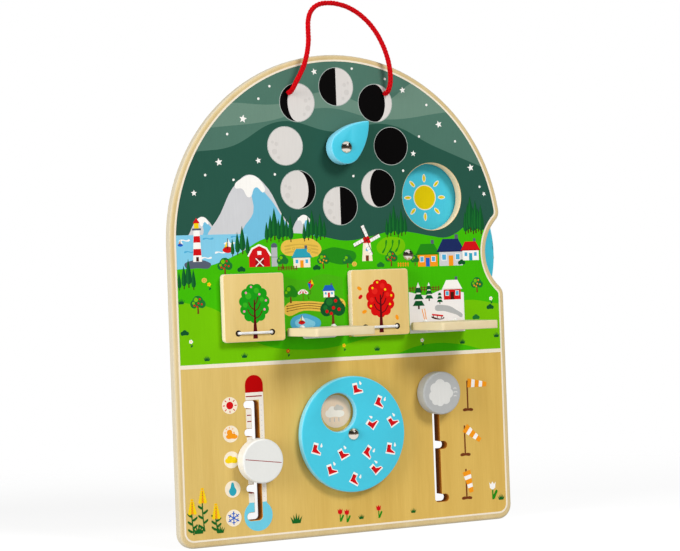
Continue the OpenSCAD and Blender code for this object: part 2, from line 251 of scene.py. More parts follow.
# Painted shadow behind the board, laid into the floor's glow
painted_shade_behind = away.node("ValToRGB", {0: away}, stops=[(at, (grey, grey, grey, 1)) for at, grey in PAINTED_SHADE_BEHIND])
floor_glow = fade.node("Emission", {
    "Color": (1, 1, 1, 1),
    "Strength": looked_at(floor_tree) * (painted_shade_behind * FLOOR_SEEN - FLOOR_BOUNCE) + FLOOR_BOUNCE})
floor_shade = Socket(floor_tree.nodes["Principled BSDF"].outputs[0])
floor_lit = fade.node("AddShader", {0: floor_shade, 1: floor_glow})
floor_out = fade.node("MixShader", {0: fade, 1: floor_lit, 2: fade.node("BsdfTransparent")})
floor_tree.links.new(floor_out.socket, floor_tree.nodes["Material Output"].inputs["Surface"])
staged("floor", ground, floor_paper)


# Rope: a red braided cord, eight strands over a soft core. Both ends go through the panel
# and are stopped behind it by a barrel knot.
def srgb(red, green, blue):
    """A colour as it is seen, 0 to 255, turned into the linear one that a shader wants."""
    def linear(channel):
        share = channel / 255
        return share / 12.92 if share <= 0.04045 else ((share + 0.055) / 1.055) ** 2.4
    return (linear(red), linear(green), linear(blue), 1)


def noise(place, scale, detail=3.0, stretch=(1, 1, 1)):
    turned = place.node("Mapping", {"Vector": place, "Scale": stretch})
    return turned.node("TexNoise", {"Vector": turned, "Scale": scale, "Detail": detail})


def bump(height, distance, strength=1.0):
    return height.node("Bump", {"Height": height, "Distance": distance, "Strength": strength})


def tint(colour, factor):
    return tuple(channel * factor for channel in colour[:3]) + (1,)


def cord_finish(name, colour):
    """Braided yarn: fine fibres that catch the light, darker where they dip."""
    material, place = finish(name, Roughness=0.9, Specular_IOR_Level=0.1)
    fibres = noise(place, 2600, 2.0)
    shade = noise(place, 260, 2.0) * 0.5 + fibres * 0.5
    feed(material, Base_Color=shade.mix(tint(colour, 0.7), tint(colour, 1.1)), Normal=bump(fibres, 0.00025))
    return material


def link_mesh(mesh, body, material, smooth_angle=40):
    """Puts a finished mesh in the scene, smooth shaded and riding on a body."""
    mesh.polygons.foreach_set("use_smooth", [True] * len(mesh.polygons))
    mesh.set_sharp_from_angle(angle=math.radians(smooth_angle))
    piece = bpy.data.objects.new(mesh.name, mesh)
    bpy.context.scene.collection.objects.link(piece)
    mesh.materials.append(material)
    if body:
        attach(piece, body)
    return piece


def smooth_route(points, step):
    """Points a short step apart on the smooth curve through a cord's points."""
    curve = bpy.data.curves.new("route", "CURVE")
    curve.dimensions = "3D"
    curve.resolution_u = 24
    spline = curve.splines.new("BEZIER")
    spline.bezier_points.add(len(points) - 1)
    for knot, point in zip(spline.bezier_points, points):
        knot.handle_left_type = knot.handle_right_type = "AUTO"
        knot.co = point
    holder = bpy.data.objects.new("route", curve)
    fine = [v.co.copy() for v in bpy.data.meshes.new_from_object(holder).vertices]
    bpy.data.objects.remove(holder)
    route = [fine[0]]
    for point in fine[1:-1]:
        if (point - route[-1]).length >= step:
            route.append(point)
    return route + [fine[-1]]


def route_length(route):
    return sum((b - a).length for a, b in zip(route, route[1:]))


STRANDS = 8
STRAND_SHARE, WEAVE_SHARE = 0.29, 0.06


def braid(name, route, diameter, pitch):
    """A braided cord along a route: half its strands each way round, weaving over and under, on a core."""
    strand_d = diameter * STRAND_SHARE
    weave = diameter * WEAVE_SHARE
    lay_r = (diameter - strand_d) / 2 - weave
    strands = [[] for k in range(STRANDS)]
    travelled = 0.0
    side = Vector((0.31, 0.52, 0.79))
    for i, point in enumerate(route):
        ahead = (route[min(i + 1, len(route) - 1)] - route[max(i - 1, 0)]).normalized()
        side = (side - ahead * side.dot(ahead)).normalized()
        other = ahead.cross(side)
        if i:
            travelled += (point - route[i - 1]).length
        turn = 2 * math.pi * travelled / pitch
        for k in range(STRANDS):
            way = 1 if k % 2 else -1
            angle = way * turn + 4 * math.pi / STRANDS * (k // 2)
            reach = lay_r + way * weave * math.cos(STRANDS / 2 * turn)
            strands[k].append(point + (side * math.cos(angle) + other * math.sin(angle)) * reach)
    curve = bpy.data.curves.new(name, "CURVE")
    curve.dimensions = "3D"
    curve.bevel_depth = strand_d / 2
    curve.bevel_resolution = 1
    curve.use_fill_caps = True
    core = [lay_r / strand_d * 2] * len(route)
    for points, radii in [(strand, [1.0] * len(route)) for strand in strands] + [(route, core)]:
        spline = curve.splines.new("POLY")
        spline.points.add(len(points) - 1)
        spline.points.foreach_set("co", [n for p in points for n in (*p, 1)])
        spline.points.foreach_set("radius", radii)
    holder = bpy.data.objects.new(name, curve)
    mesh = bpy.data.meshes.new_from_object(holder)
    bpy.data.objects.remove(holder)
    mesh.name = name
    return mesh


BOARD_FRONT = -4.5
BOARD_BACK = 4.5
BOARD_TOP = 386
ROPE_D = 4.5
ROPE_PITCH = 11
ROUTE_STEP = 0.7
# The rope's own points: across, out from the panel's front, and up from its top.
ROPE_ROUTE = [
    (-43.5, 0, -31), (-43.5, 3.5, -30.7), (-43, 7, -28.5), (-41.5, 9.3, -24.5),
    (-38.5, 10, -19), (-34.5, 9.7, -12), (-31.5, 9, -5), (-29, 8, 3),
    (-27.5, 7, 11), (-27, 6, 19), (-26, 5, 27), (-23, 4.3, 34),
    (-17, 3.8, 39), (-8, 3.5, 41), (4, 3.5, 40), (15, 3.9, 36),
    (25, 4.7, 29), (33, 5.6, 20), (38.7, 6.4, 10), (42.6, 7.2, -0.5),
    (44.5, 7.8, -10), (45, 8, -18.5), (44.6, 7.5, -24.5), (43.9, 6, -28.5),
    (43.5, 3.5, -30.7), (43.5, 0, -31),
]
rope_finish = cord_finish("red braid", srgb(214, 8, 20))
rope_route = smooth_route(
    [Vector((x, BOARD_FRONT - out, BOARD_TOP + up)) * MM for x, out, up in ROPE_ROUTE], ROUTE_STEP * MM)
rope = link_mesh(braid("rope", rope_route, ROPE_D * MM, ROPE_PITCH * MM), "board", rope_finish)
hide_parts("rope_loop")

KNOT_TURN_R = 3.4
KNOT_TURNS, KNOT_STEPS = 2, 12
KNOT_DEPTH = 6.6
KNOT_TAIL = ((0.4, 0.4, 3.5), (0.2, 0.5, 9))
for knot_name, hole in (("rope_knot_left", ROPE_ROUTE[0]), ("rope_knot_right", ROPE_ROUTE[-1])):
    x, z = hole[0], BOARD_TOP + hole[2]
    points = [(x, BOARD_FRONT, z), (x, 0, z), (x, BOARD_BACK, z), (x, BOARD_BACK + KNOT_DEPTH * 0.8, z)]
    steps = KNOT_STEPS * KNOT_TURNS
    for i in range(steps + 1):
        angle = 2 * math.pi * KNOT_TURNS * i / steps
        y = BOARD_BACK + KNOT_DEPTH - (KNOT_DEPTH - ROPE_D / 2) * i / steps
        points.append((x + KNOT_TURN_R * math.cos(angle), y, z + KNOT_TURN_R * math.sin(angle)))
    for out, back, up in KNOT_TAIL:
        points.append((x + KNOT_TURN_R + out, points[-1][1] + back, z + up))
    knot_route = smooth_route([Vector(p) * MM for p in points], ROUTE_STEP * MM)
    knot_mesh = braid(knot_name + "_braid", knot_route, ROPE_D * MM, ROPE_PITCH * MM)
    knot = link_mesh(knot_mesh, "board", rope_finish)
    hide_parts(knot_name)
route_length(rope_route)


# Panel: birch plywood sawn to an arch, its outer edges rounded over and its face lacquered.
# The window and slots have only their sharp edges broken.
MERGE_GAP = 0.001
FLAT_ANGLE, HARD_ANGLE = 0.5, 50


def merged_copy(node):
    """A CAD node's mesh as joined flat faces, ready to have its edges eased."""
    copied = bmesh.new()
    copied.from_mesh(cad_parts[node].data)
    bmesh.ops.remove_doubles(copied, verts=copied.verts, dist=MERGE_GAP * MM)
    bmesh.ops.dissolve_limit(copied, angle_limit=math.radians(FLAT_ANGLE), verts=copied.verts,
                             edges=copied.edges)
    return copied


def hard_edges(shape):
    return [e for e in shape.edges if e.is_manifold and e.calc_face_angle() > math.radians(HARD_ANGLE)]


def ease(shape, edges, radius, segments):
    bmesh.ops.bevel(shape, geom=edges, offset=radius * MM, offset_type="OFFSET", segments=segments,
                    profile=0.5, affect="EDGES", material=-1, clamp_overlap=False)


def middle_of(edge):
    return (edge.verts[0].co + edge.verts[1].co) / 2


def wood_finish(name, light, dark, side, ply=None, turn=(0, 0, 0), stained=None, cut=None):
    """Lacquered wood with its grain along Z, paler on its sawn sides, with glue lines where it is ply."""
    material, place = finish(name, Specular_IOR_Level=0.15)
    laid = place.node("Mapping", {"Vector": place, "Rotation": turn})
    figure = noise(laid, 1, 4.0, stretch=(95, 95, 7))
    pores = noise(laid, 1, 2.0, stretch=(1400, 1400, 55))
    grain = figure * 0.7 + pores * 0.3
    face = grain.node("ValToRGB", {0: grain}, stops=[(0.3, light), (0.76, dark)])
    if stained:
        face = stained(laid, face)
    sawn = pores.mix(tint(side, 0.93), side)
    normal = place.node("TexCoord", output=1)
    facing = abs(normal.node("SeparateXYZ", {0: normal}, output=1))
    if ply:
        depth = (place.node("SeparateXYZ", {0: place}, output=1) - BOARD_FRONT * MM) / (ply * MM)
        cross = (depth / 2).math("FRACT", depth / 2) > 0.5
        glue = abs(depth.math("FRACT", depth) - 0.5) > 0.44
        sawn = cross.mix(sawn, tint(side, 0.93))
        sawn = glue.mix(sawn, tint(side, 0.84))
    if cut:
        sawn = cut(place, sawn)
    facing_share = facing.node("MapRange", {0: facing, 1: 0.55, 2: 0.99})
    feed(material, Base_Color=facing_share.mix(sawn, face), Normal=bump(pores, 0.00012, 0.5),
         Roughness=grain * 0.25 + 0.81 - facing_share * 0.45)
    return material


LIGHT_AMBER, DEEP_AMBER = (1.06, 0.97, 0.59, 1), (1.03, 0.87, 0.4, 1)
DEEPENS_FROM, DEEPENS_TO = -125, 20
FIELD_HALF, FIELD_FOOT, FIELD_TOP, FIELD_CORNER = 144.9, 5.7, 152, 6.6


def lower_field(place, face):
    """The face stained amber inside the border line and below the picture, deeper towards its right."""
    middle, half = (FIELD_FOOT + FIELD_TOP) / 2, (FIELD_TOP - FIELD_FOOT) / 2
    x = abs(place.node("SeparateXYZ", {0: place}, output=0)) - (FIELD_HALF - FIELD_CORNER) * MM
    z = abs(place.node("SeparateXYZ", {0: place}, output=2) - middle * MM) - (half - FIELD_CORNER) * MM
    past_x = x.math("MAXIMUM", x)
    past_z = z.math("MAXIMUM", z)
    front = place.node("SeparateXYZ", {0: place}, output=1) < 0
    inside = front * (past_x * past_x + past_z * past_z < (FIELD_CORNER * MM) ** 2)
    across = place.node("SeparateXYZ", {0: place}, output=0)
    deeper = across.node("MapRange", {0: across, 1: DEEPENS_FROM * MM, 2: DEEPENS_TO * MM},
                         interpolation_type="SMOOTHSTEP")
    amber = face.node("VectorMath", {0: face, 1: deeper.mix(LIGHT_AMBER, DEEP_AMBER)}, operation="MULTIPLY")
    return inside.mix(face, amber)


PLY = 1.8
OUTER_EASE = 2.2
INNER_EASE = 0.45
WINDOW = (84, 270.5, 27.5)
WINDOW_NEAR, WINDOW_WALL_REACH = 0.2, 1.5
SLOT_MIDDLES = ((-85.8, 65), (83.5, 65.5))
SLOT_REACH = (8, 52)
# Slot walls: burn from the cutting plus painted shade, darkest at the back; the window's wall is painted
# light, paler than the other sawn sides
SCORCH_AND_SHADE_FRONT, SCORCH_AND_SHADE_BACK = srgb(176, 104, 22), srgb(84, 32, 4)
LIT_WINDOW_WALL = srgb(246, 218, 180)


def cut_walls(place, sawn):
    """The sawn sides: in the slots burnt dark by the cutting, with painted shade that deepens towards their
    backs, and in the round window painted pale, as if lit.
    """
    x, y, z = (place.node("SeparateXYZ", {0: place}, output=k) for k in range(3))
    depth = y.node("MapRange", {0: y, 1: BOARD_FRONT * MM, 2: BOARD_BACK * MM})
    scorch_and_shade = depth.mix(SCORCH_AND_SHADE_FRONT, SCORCH_AND_SHADE_BACK)
    for slot_x, slot_z in SLOT_MIDDLES:
        in_slot = (abs(x - slot_x * MM) < SLOT_REACH[0] * MM) * (abs(z - slot_z * MM) < SLOT_REACH[1] * MM)
        sawn = in_slot.mix(sawn, scorch_and_shade)
    from_window = place.node("VectorMath", {0: place, 1: (WINDOW[0] * MM, 0, WINDOW[1] * MM)}, output=1,
                             operation="DISTANCE")
    return (from_window < (WINDOW[2] + WINDOW_WALL_REACH) * MM).mix(sawn, LIT_WINDOW_WALL)


panel = merged_copy("board")
panel_edges = hard_edges(panel)
outer_edges = []
reached = {min(panel.verts, key=lambda v: (v.co.z, side * v.co.y)) for side in (1, -1)}
growing = True
while growing:
    found = [e for e in panel_edges if e not in outer_edges and reached.intersection(e.verts)]
    outer_edges += found
    reached.update(v for e in found for v in e.verts)
    growing = bool(found)
inner_edges = []
for edge in panel_edges:
    point = middle_of(edge) / MM
    in_window = abs(math.hypot(point.x - WINDOW[0], point.z - WINDOW[1]) - WINDOW[2]) < WINDOW_NEAR
    in_slot = any(abs(point.x - x) < SLOT_REACH[0] and abs(point.z - z) < SLOT_REACH[1]
                  for x, z in SLOT_MIDDLES)
    if in_window or in_slot:
        inner_edges.append(edge)
ease(panel, outer_edges, OUTER_EASE, 4)
ease(panel, [e for e in inner_edges if e.is_valid], INNER_EASE, 2)
panel_finish = wood_finish("birch ply", srgb(216, 194, 145), srgb(200, 174, 120), srgb(208, 197, 172),
                           ply=PLY, stained=lower_field, cut=cut_walls)
panel_piece = link_mesh(meshed("panel", panel), "board", panel_finish, smooth_angle=30)
for polygon in panel_piece.data.polygons:
    polygon.use_smooth = abs(polygon.normal.y) < 0.999
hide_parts("board")


# Panel's print: flat inks laid on the face as thin films, one over the other: a night sky,
# a coast with fields below it, four season pictures behind the doors, and a white border line.
INK_FILM = 0.005
INK_SINK = 0.1
INK_MERGE_GAP = 0.0001


class Print:
    """Flat inked shapes on one face, gathered as one thin mesh whose faces carry their colours."""

    def __init__(self, name, place):
        self.name = name
        self.place = place
        self.shift = Matrix.Identity(4)
        self.mesh = bmesh.new()
        self.mesh.faces.layers.float_color.new("ink")
        self.films = []

    def moved(self, x, z, scale=1.0, turn=0):
        """The same print, drawn on from another place, size and angle."""
        other = copy.copy(self)
        other.shift = (self.shift @ Matrix.Translation((x, z, 0))
                       @ Matrix.Rotation(math.radians(turn), 4, "Z") @ Matrix.Scale(scale, 4))
        return other

    def fill(self, colour, *outlines, smooth=True):
        """One inked shape inside an outline, over what is there; further outlines are holes in it."""
        drawn = [[self.shift @ Vector((x, z, 0)) for x, z in outline] for outline in outlines]
        left, right = min(p.x for p in drawn[0]), max(p.x for p in drawn[0])
        low, high = min(p.y for p in drawn[0]), max(p.y for p in drawn[0])
        under = [film[4] for film in self.films
                 if film[0] < right and film[1] > left and film[2] < high and film[3] > low]
        top = max(under, default=0) + INK_FILM
        self.films.append((left, right, low, high, top))
        curve = bpy.data.curves.new(self.name, "CURVE")
        curve.dimensions = "2D"
        curve.fill_mode = "BOTH"
        curve.resolution_u = 5
        curve.extrude = (top + INK_SINK) / 2 * MM
        for points in drawn:
            spline = curve.splines.new("BEZIER")
            spline.bezier_points.add(len(points) - 1)
            for knot, point in zip(spline.bezier_points, points):
                knot.handle_left_type = knot.handle_right_type = "AUTO" if smooth else "VECTOR"
                knot.co = point * MM
            spline.use_cyclic_u = True
        holder = bpy.data.objects.new(self.name, curve)
        film = bpy.data.meshes.new_from_object(holder)
        bpy.data.objects.remove(holder)
        film.transform(self.place @ Matrix.Translation((0, 0, (top - INK_SINK) / 2 * MM)))
        solid = bmesh.new()
        solid.from_mesh(film)
        bmesh.ops.remove_doubles(solid, verts=solid.verts, dist=INK_MERGE_GAP * MM)
        bmesh.ops.recalc_face_normals(solid, faces=solid.faces)
        solid.to_mesh(film)
        solid.free()
        already = len(self.mesh.faces)
        self.mesh.from_mesh(film)
        bpy.data.meshes.remove(film)
        self.mesh.faces.ensure_lookup_table()
        ink = self.mesh.faces.layers.float_color["ink"]
        for face in self.mesh.faces[already:]:
            face[ink] = colour

    def box(self, colour, x0, z0, x1, z1):
        self.fill(colour, [(x0, z0), (x1, z0), (x1, z1), (x0, z1)], smooth=False)

    def shape(self, colour, *points):
        self.fill(colour, points, smooth=False)

    def blob(self, colour, *points):
        self.fill(colour, points)

    def round(self, colour, x, z, rx, rz=None):
        self.fill(colour, ring(x, z, rx, rz or rx))

    def line(self, colour, points, width):
        self.fill(colour, stroke(points, width), smooth=len(points) > 2)

    def laid_on(self, body, material):
        piece = link_mesh(meshed(self.name, self.mesh), body, material, smooth_angle=20)


def ring(x, z, rx, rz=None, count=8):
    rz = rz or rx
    return [(x + rx * math.cos(2 * math.pi * k / count), z + rz * math.sin(2 * math.pi * k / count))
            for k in range(count)]


def arc(x, z, r, first, last, steps):
    """Points of an arc from one angle to another, in degrees."""
    angles = [math.radians(first + (last - first) * k / steps) for k in range(steps + 1)]
    return [(x + r * math.cos(a), z + r * math.sin(a)) for a in angles]


def stroke(points, width):
    """The outline of a line of that width through the points."""
    left, right = [], []
    for i, (x, z) in enumerate(points):
        before, after = points[max(i - 1, 0)], points[min(i + 1, len(points) - 1)]
        dx, dz = after[0] - before[0], after[1] - before[1]
        reach = width / 2 / math.hypot(dx, dz)
        left.append((x - dz * reach, z + dx * reach))
        right.append((x + dz * reach, z - dx * reach))
    return left + right[::-1]


def flowing(*points):
    """A fine run of points on the smooth curve through a few."""
    route = smooth_route([Vector((x, 0, z)) for x, z in points], 1.5)
    return [(p.x, p.z) for p in route]


def ink_finish():
    """Screen ink: its own colour with a little unevenness, and the wood's grain just felt through it."""
    material, place = finish("screen ink", Specular_IOR_Level=0.04)
    inks = place.node("Attribute", attribute_name="ink", attribute_type="GEOMETRY")
    grain = noise(place, 1, 2.0, stretch=(900, 900, 45))
    patches = noise(place, 55, 2.0)
    level = grain * 0.1 + patches * 0.08 + 0.91
    shaded = level.node("VectorMath", {0: inks, 1: level}, operation="MULTIPLY")
    feed(material, Base_Color=shaded, Roughness=grain * 0.16 + 0.4, Normal=bump(grain, 0.00006, 0.5))
    return material


screen_ink = ink_finish()
NIGHT = srgb(39, 83, 69)
MIST = srgb(76, 114, 99)
PALE_MIST = srgb(104, 135, 119)
WHITE = srgb(243, 240, 234)
CREAM = srgb(240, 226, 200)
BLACK = srgb(5, 4, 4)
MOON = srgb(214, 209, 204)
CRATER = srgb(205, 200, 195)
MOON_RIM = srgb(176, 184, 178)
MEADOW = srgb(63, 180, 3)
SUNNY = srgb(110, 188, 3)
SHADED = srgb(34, 132, 22)
FOREST = srgb(16, 84, 40)
LEAF = srgb(30, 112, 44)
POPLAR_LIGHT = srgb(24, 104, 42)
SEA = srgb(126, 197, 224)
DEEP_SEA = srgb(78, 168, 208)
BLUE_HILL = srgb(112, 186, 216)
RED = srgb(204, 18, 22)
DARK_RED = srgb(146, 14, 20)
YELLOW = srgb(238, 204, 22)
ORANGE = srgb(238, 148, 26)
BROWN = srgb(112, 56, 26)
DARK_BROWN = srgb(66, 26, 18)
TEAL = srgb(44, 158, 178)
BLUE = srgb(30, 92, 188)
NAVY = srgb(28, 42, 92)
GREY = srgb(176, 178, 180)
HILL_GREY = srgb(202, 202, 204)
SLATE = srgb(84, 92, 108)
PINK = srgb(238, 140, 172)
STRAW = srgb(226, 186, 74)

FACE_TURN = Matrix.Rotation(math.pi / 2, 4, "X")


def on_front(y):
    """Takes a print drawn flat, x across and z up, to an upright face at y that looks forward."""
    return Matrix.Translation((0, y * MM, 0)) @ FACE_TURN


# The panel's outline, as the solid has it: an arch on straight sides, with an eased notch
ARCH = (0, 236, 150)
CORNER_R = 12
NOTCH = (172, 223, 38)
EASE_R = 10
EASE_LOW = (140, 187.22)
EASE_HIGH = (138.4, 257.1)
FOOT_RISE = 0.9
PICTURE_FOOT = 140.9
PICTURE_INSET = 5.4
PICTURE_SIDE = ARCH[2] - PICTURE_INSET


def angle_to(a, b):
    return math.degrees(math.atan2(b[1] - a[1], b[0] - a[0]))


def outline(inset):
    """The panel's outline, moved inwards, and a little more at the foot."""
    side = ARCH[2] - inset
    return (
        arc(-ARCH[2] + CORNER_R, CORNER_R + FOOT_RISE, CORNER_R - inset, 180, 270, 10)
        + arc(ARCH[2] - CORNER_R, CORNER_R + FOOT_RISE, CORNER_R - inset, 270, 360, 10)
        + arc(*EASE_LOW, EASE_R - inset, 0, angle_to(EASE_LOW, NOTCH), 10)
        + arc(*NOTCH[:2], NOTCH[2] + inset, 360 + angle_to(NOTCH, EASE_LOW),
              angle_to(NOTCH, EASE_HIGH), 28)[1:-1]
        + arc(*EASE_HIGH, EASE_R - inset, angle_to(EASE_HIGH, NOTCH), angle_to(ARCH, EASE_HIGH), 10)
        + arc(*ARCH[:2], side, angle_to(ARCH, EASE_HIGH), 180, 90)[1:]
    )


def along_arch(first, last):
    """Points on the picture's arch from one angle to another."""
    return arc(*ARCH[:2], PICTURE_SIDE, first, last, max(2, round(abs(last - first) / 2)))


def on_arch(degrees):
    return along_arch(degrees, degrees)[0]


def star(pen, r):
    points = []
    for k in range(5):
        for reach, turn in ((r, 90), (r * 0.45, 126)):
            a = math.radians(turn + 72 * k)
            points.append((reach * math.cos(a), reach * math.sin(a)))
    pen.shape(WHITE, *points)


def round_tree(pen, crown, light, fruit=None):
    pen.shape(BROWN, (-0.8, 0), (0.8, 0), (0.5, 6), (-0.5, 6))
    for x, z, r in ((0, 9.5, 4.6), (-3.2, 7.6, 3.2), (3.2, 7.6, 3.2)):
        pen.round(crown, x, z, r)
    for x, z, r in ((-1.6, 11, 1.7), (-3.8, 8.4, 1.1)):
        pen.round(light, x, z, r)
    if fruit:
        for x, z in ((-3, 6.6), (0.4, 8.2), (3.2, 7.4), (1.6, 11.4), (-0.8, 5.6)):
            pen.round(fruit, x, z, 0.8)


def poplar(pen):
    half = [(0.75, 14.6), (1.45, 11), (1.95, 7.6), (2.1, 5), (1.7, 3), (0.8, 1.9)]
    pen.box(DARK_BROWN, -0.4, -0.4, 0.4, 2.4)
    pen.shape(FOREST, (0, 18), *half, *[(-x, z) for x, z in half[::-1]])
    pen.shape(POPLAR_LIGHT, (0, 17), *[(-0.75 * x, z) for x, z in half], (-0.2, 1.9))


def bush(pen, colour):
    for x, z, r in ((-2.2, 1.4, 1.9), (0, 2.2, 2.4), (2.3, 1.4, 1.8)):
        pen.round(colour, x, z, r)


def cottage(pen, wall, roof, door):
    pen.box(wall, -6, 0, 6, 7)
    pen.box(SLATE, 2.2, 11, 4, 14)
    pen.shape(roof, (-7.2, 6.4), (7.2, 6.4), (4, 12), (-4, 12))
    pen.box(door, -1.2, 0, 1.2, 4.6)
    for x in (-4.6, 2.4):
        pen.box(WHITE, x - 0.2, 2.4, x + 2.4, 5.4)
        pen.box(DEEP_SEA, x + 0.1, 2.7, x + 2.1, 5.1)
    pen.box(tint(roof, 0.75), -7.2, 6.2, 7.2, 6.8)


def barn(pen):
    pen.shape(RED, (-7, 0), (7, 0), (7, 7), (4.4, 11), (0, 13), (-4.4, 11), (-7, 7))
    for ends in ([(-7.6, 6.6), (-4.7, 11.3)], [(-4.9, 11.1), (0, 13.4)],
                 [(0, 13.4), (4.9, 11.1)], [(4.7, 11.3), (7.6, 6.6)]):
        pen.line(WHITE, ends, 1.1)
    pen.box(DARK_RED, -2.8, 0, 2.8, 5.6)
    for low, high in ((0.3, 5.3), (5.3, 0.3)):
        pen.line(WHITE, [(-2.6, low), (2.6, high)], 0.6)
    pen.box(WHITE, -1.3, 7.4, 1.3, 9.6)
    pen.box(GREY, 8, 0, 12, 12)
    pen.blob(SLATE, (8, 12), (10, 14.4), (12, 12), (10, 11.6))
    pen.box(tint(GREY, 0.7), 8, 5.4, 12, 6)


def lighthouse(pen):
    pen.blob(SLATE, (-9, 0), (-5, 2.6), (0, 3), (6, 2.2), (9, -0.4), (0, -2))
    pen.shape(WHITE, (-3, 2), (3, 2), (2, 22), (-2, 22))
    for low in (6, 14):
        half = 3 - low / 20
        pen.shape(RED, (-half - 0.05, low), (half + 0.05, low),
                  (half - 0.2, low + 4), (-half + 0.2, low + 4))
    pen.box(SLATE, -3, 21.6, 3, 22.8)
    pen.box(YELLOW, -1.6, 22.8, 1.6, 26)
    pen.shape(RED, (-2.4, 26), (2.4, 26), (0, 29.4))
    pen.box(DARK_BROWN, -0.9, 2.2, 0.9, 5)


def boat(pen, hull, sail):
    pen.blob(hull, (-5, 2.2), (5, 2.2), (3.4, 0), (-3.4, 0))
    pen.box(DARK_BROWN, -0.3, 2, 0.3, 12)
    pen.shape(WHITE, (0.6, 3), (5, 3), (0.6, 11.4))
    pen.shape(sail, (-0.6, 3), (-3.8, 3), (-0.6, 9.6))


def windmill(pen):
    pen.shape(CREAM, (-4.2, 0), (4.2, 0), (2.8, 14), (-2.8, 14))
    pen.blob(RED, (-3.2, 13.4), (0, 17.6), (3.2, 13.4), (0, 12.8))
    pen.box(BROWN, -1.2, 0, 1.2, 4)
    pen.round(DEEP_SEA, 0, 8, 1.1)
    for turn in (25, 115, 205, 295):
        arm = pen.moved(0, 14.6, 1, turn)
        arm.box(DARK_BROWN, -0.25, 0, 0.25, 11)
        arm.box(WHITE, 0.25, 2.4, 2.6, 10.8)
        for rung in (4.4, 6.6, 8.8):
            arm.box(GREY, 0.25, rung, 2.6, rung + 0.3)


def fence(pen, count, colour):
    for z in (1.4, 3.2):
        pen.box(tint(colour, 0.8), -0.6, z, count * 3 - 1.5, z + 0.6)
    for k in range(count):
        pen.moved(k * 3, 0).shape(colour, (0, 0), (0.9, 0), (0.9, 4.4), (0.45, 5.2), (0, 4.4))


def bale(pen):
    pen.round(STRAW, 0, 2.4, 2.8, 2.4)
    pen.round(tint(STRAW, 0.7), 0, 2.4, 1.7, 1.4)
    pen.round(STRAW, 0, 2.4, 1.1, 0.85)


def tuft(pen, colour):
    for lean in (-3.2, -1.6, 0, 1.6, 3.2):
        height = 5.2 - abs(lean) * 0.55
        pen.shape(colour, (lean * 0.4 - 0.9, 0), (lean * 0.4 + 0.9, 0), (lean, height))


def meadow_flower(pen, petal, heart):
    pen.line(FOREST, [(0, 0), (0, 4.4)], 0.5)
    pen.blob(FOREST, (0, 0.6), (1.8, 2.2), (0.2, 1.6))
    head = pen.moved(0, 5.4, 0.55)
    for x, z in ring(0, 0, 2.1, count=5):
        head.round(petal, x, z, 1.5)
    head.round(heart, 0, 0, 1.3)


def cloud(pen, colour):
    for x, z, r in ((-4.6, 2.4, 2.4), (-1.4, 4, 3.4), (3, 3.2, 2.8), (5.8, 2, 2)):
        pen.round(colour, x, z, r)
    pen.blob(colour, (-5, 0), (0, 0), (6, 0), (7, 1.6), (0, 3.2), (-6.4, 1.6))


panel_print = Print("panel_print", on_front(BOARD_FRONT))
picture_foot = [(-PICTURE_SIDE, PICTURE_FOOT), (PICTURE_SIDE, PICTURE_FOOT)]
under_line = [p for p in outline(PICTURE_INSET) if p[1] > PICTURE_FOOT]
notch_side = [p for p in under_line if p[0] > 100 and p[1] < 243]
window_edge = arc(*WINDOW[:2], WINDOW[2] + INNER_EASE, 0, 355, 71)
panel_print.fill(NIGHT, picture_foot + under_line, window_edge, smooth=False)
panel_print.fill(MIST, along_arch(24, 150) + flowing(
    on_arch(150), (-96, 312), (-52, 332), (-4, 324), (44, 330), (88, 312), on_arch(24))[1:-1], smooth=False)
panel_print.fill(PALE_MIST, along_arch(46, 62) + flowing(
    on_arch(62), (36, 346), (-10, 356), (-52, 346), on_arch(130))[1:-1] + along_arch(130, 141) + flowing(
    on_arch(141), (-64, 332), (-12, 343), (40, 334), on_arch(46))[1:-1], smooth=False)
for x, z, r, turn in (
    (-106, 300, 3.2, 8), (-84, 334, 3.4, -10), (-72, 301, 2.6, 14), (60, 358, 2.8, 6), (93, 330, 3.2, 20),
    (68, 306, 2.6, -8), (122, 294, 3.2, 10), (-128, 276, 2.6, 0), (-20, 372, 2.8, 15), (134, 272, 2.0, 30),
):
    star(panel_print.moved(x, z, 1, turn), r)
for x, z in (
    (-98, 322), (-70, 350), (-118, 290), (-94, 286), (14, 375), (44, 367), (82, 346), (108, 316), (74, 320),
    (130, 278), (-58, 290), (12, 288), (-60, 360), (58, 292),
):
    panel_print.round(WHITE, x, z, 1.0)


# Moon's phases, round the pointer
def moon(pen, r, lit_side, edge):
    """A moon lit on one side, its terminator at a share of the radius; edge None leaves it dark."""
    pen.fill(MOON_RIM, ring(0, 0, r + 0.45, count=16))
    pen.fill(BLACK, ring(0, 0, r, count=16))
    if edge is None:
        return
    limb = arc(0, 0, r, 90, -90, 18)
    terminator = [(edge * abs(x), z) for x, z in limb[::-1]]
    pen.fill(MOON, [(lit_side * abs(x), z) for x, z in limb] + terminator[1:-1], smooth=False)
    if lit_side * edge < 0.2:
        for x, z, size in ((0.62, -0.3, 0.15), (0.5, 0.1, 0.11), (0.72, 0.2, 0.08), (0.4, -0.62, 0.09)):
            pen.round(CRATER, lit_side * x * r, z * r, size * r)


MOON_R = 15.2
for x, z, lit_side, edge in (
    (-36.2, 347.2, 1, -0.55), (-1, 360.2, 1, 0), (34.2, 347.2, 1, 0.6), (47.3, 312.2, 1, None),
    (34.3, 277.9, -1, -0.5), (-0.8, 264.1, -1, 0), (-38, 277.6, -1, 0.6), (-48.1, 312.6, -1, 1),
):
    moon(panel_print.moved(x, z), MOON_R, lit_side, edge)

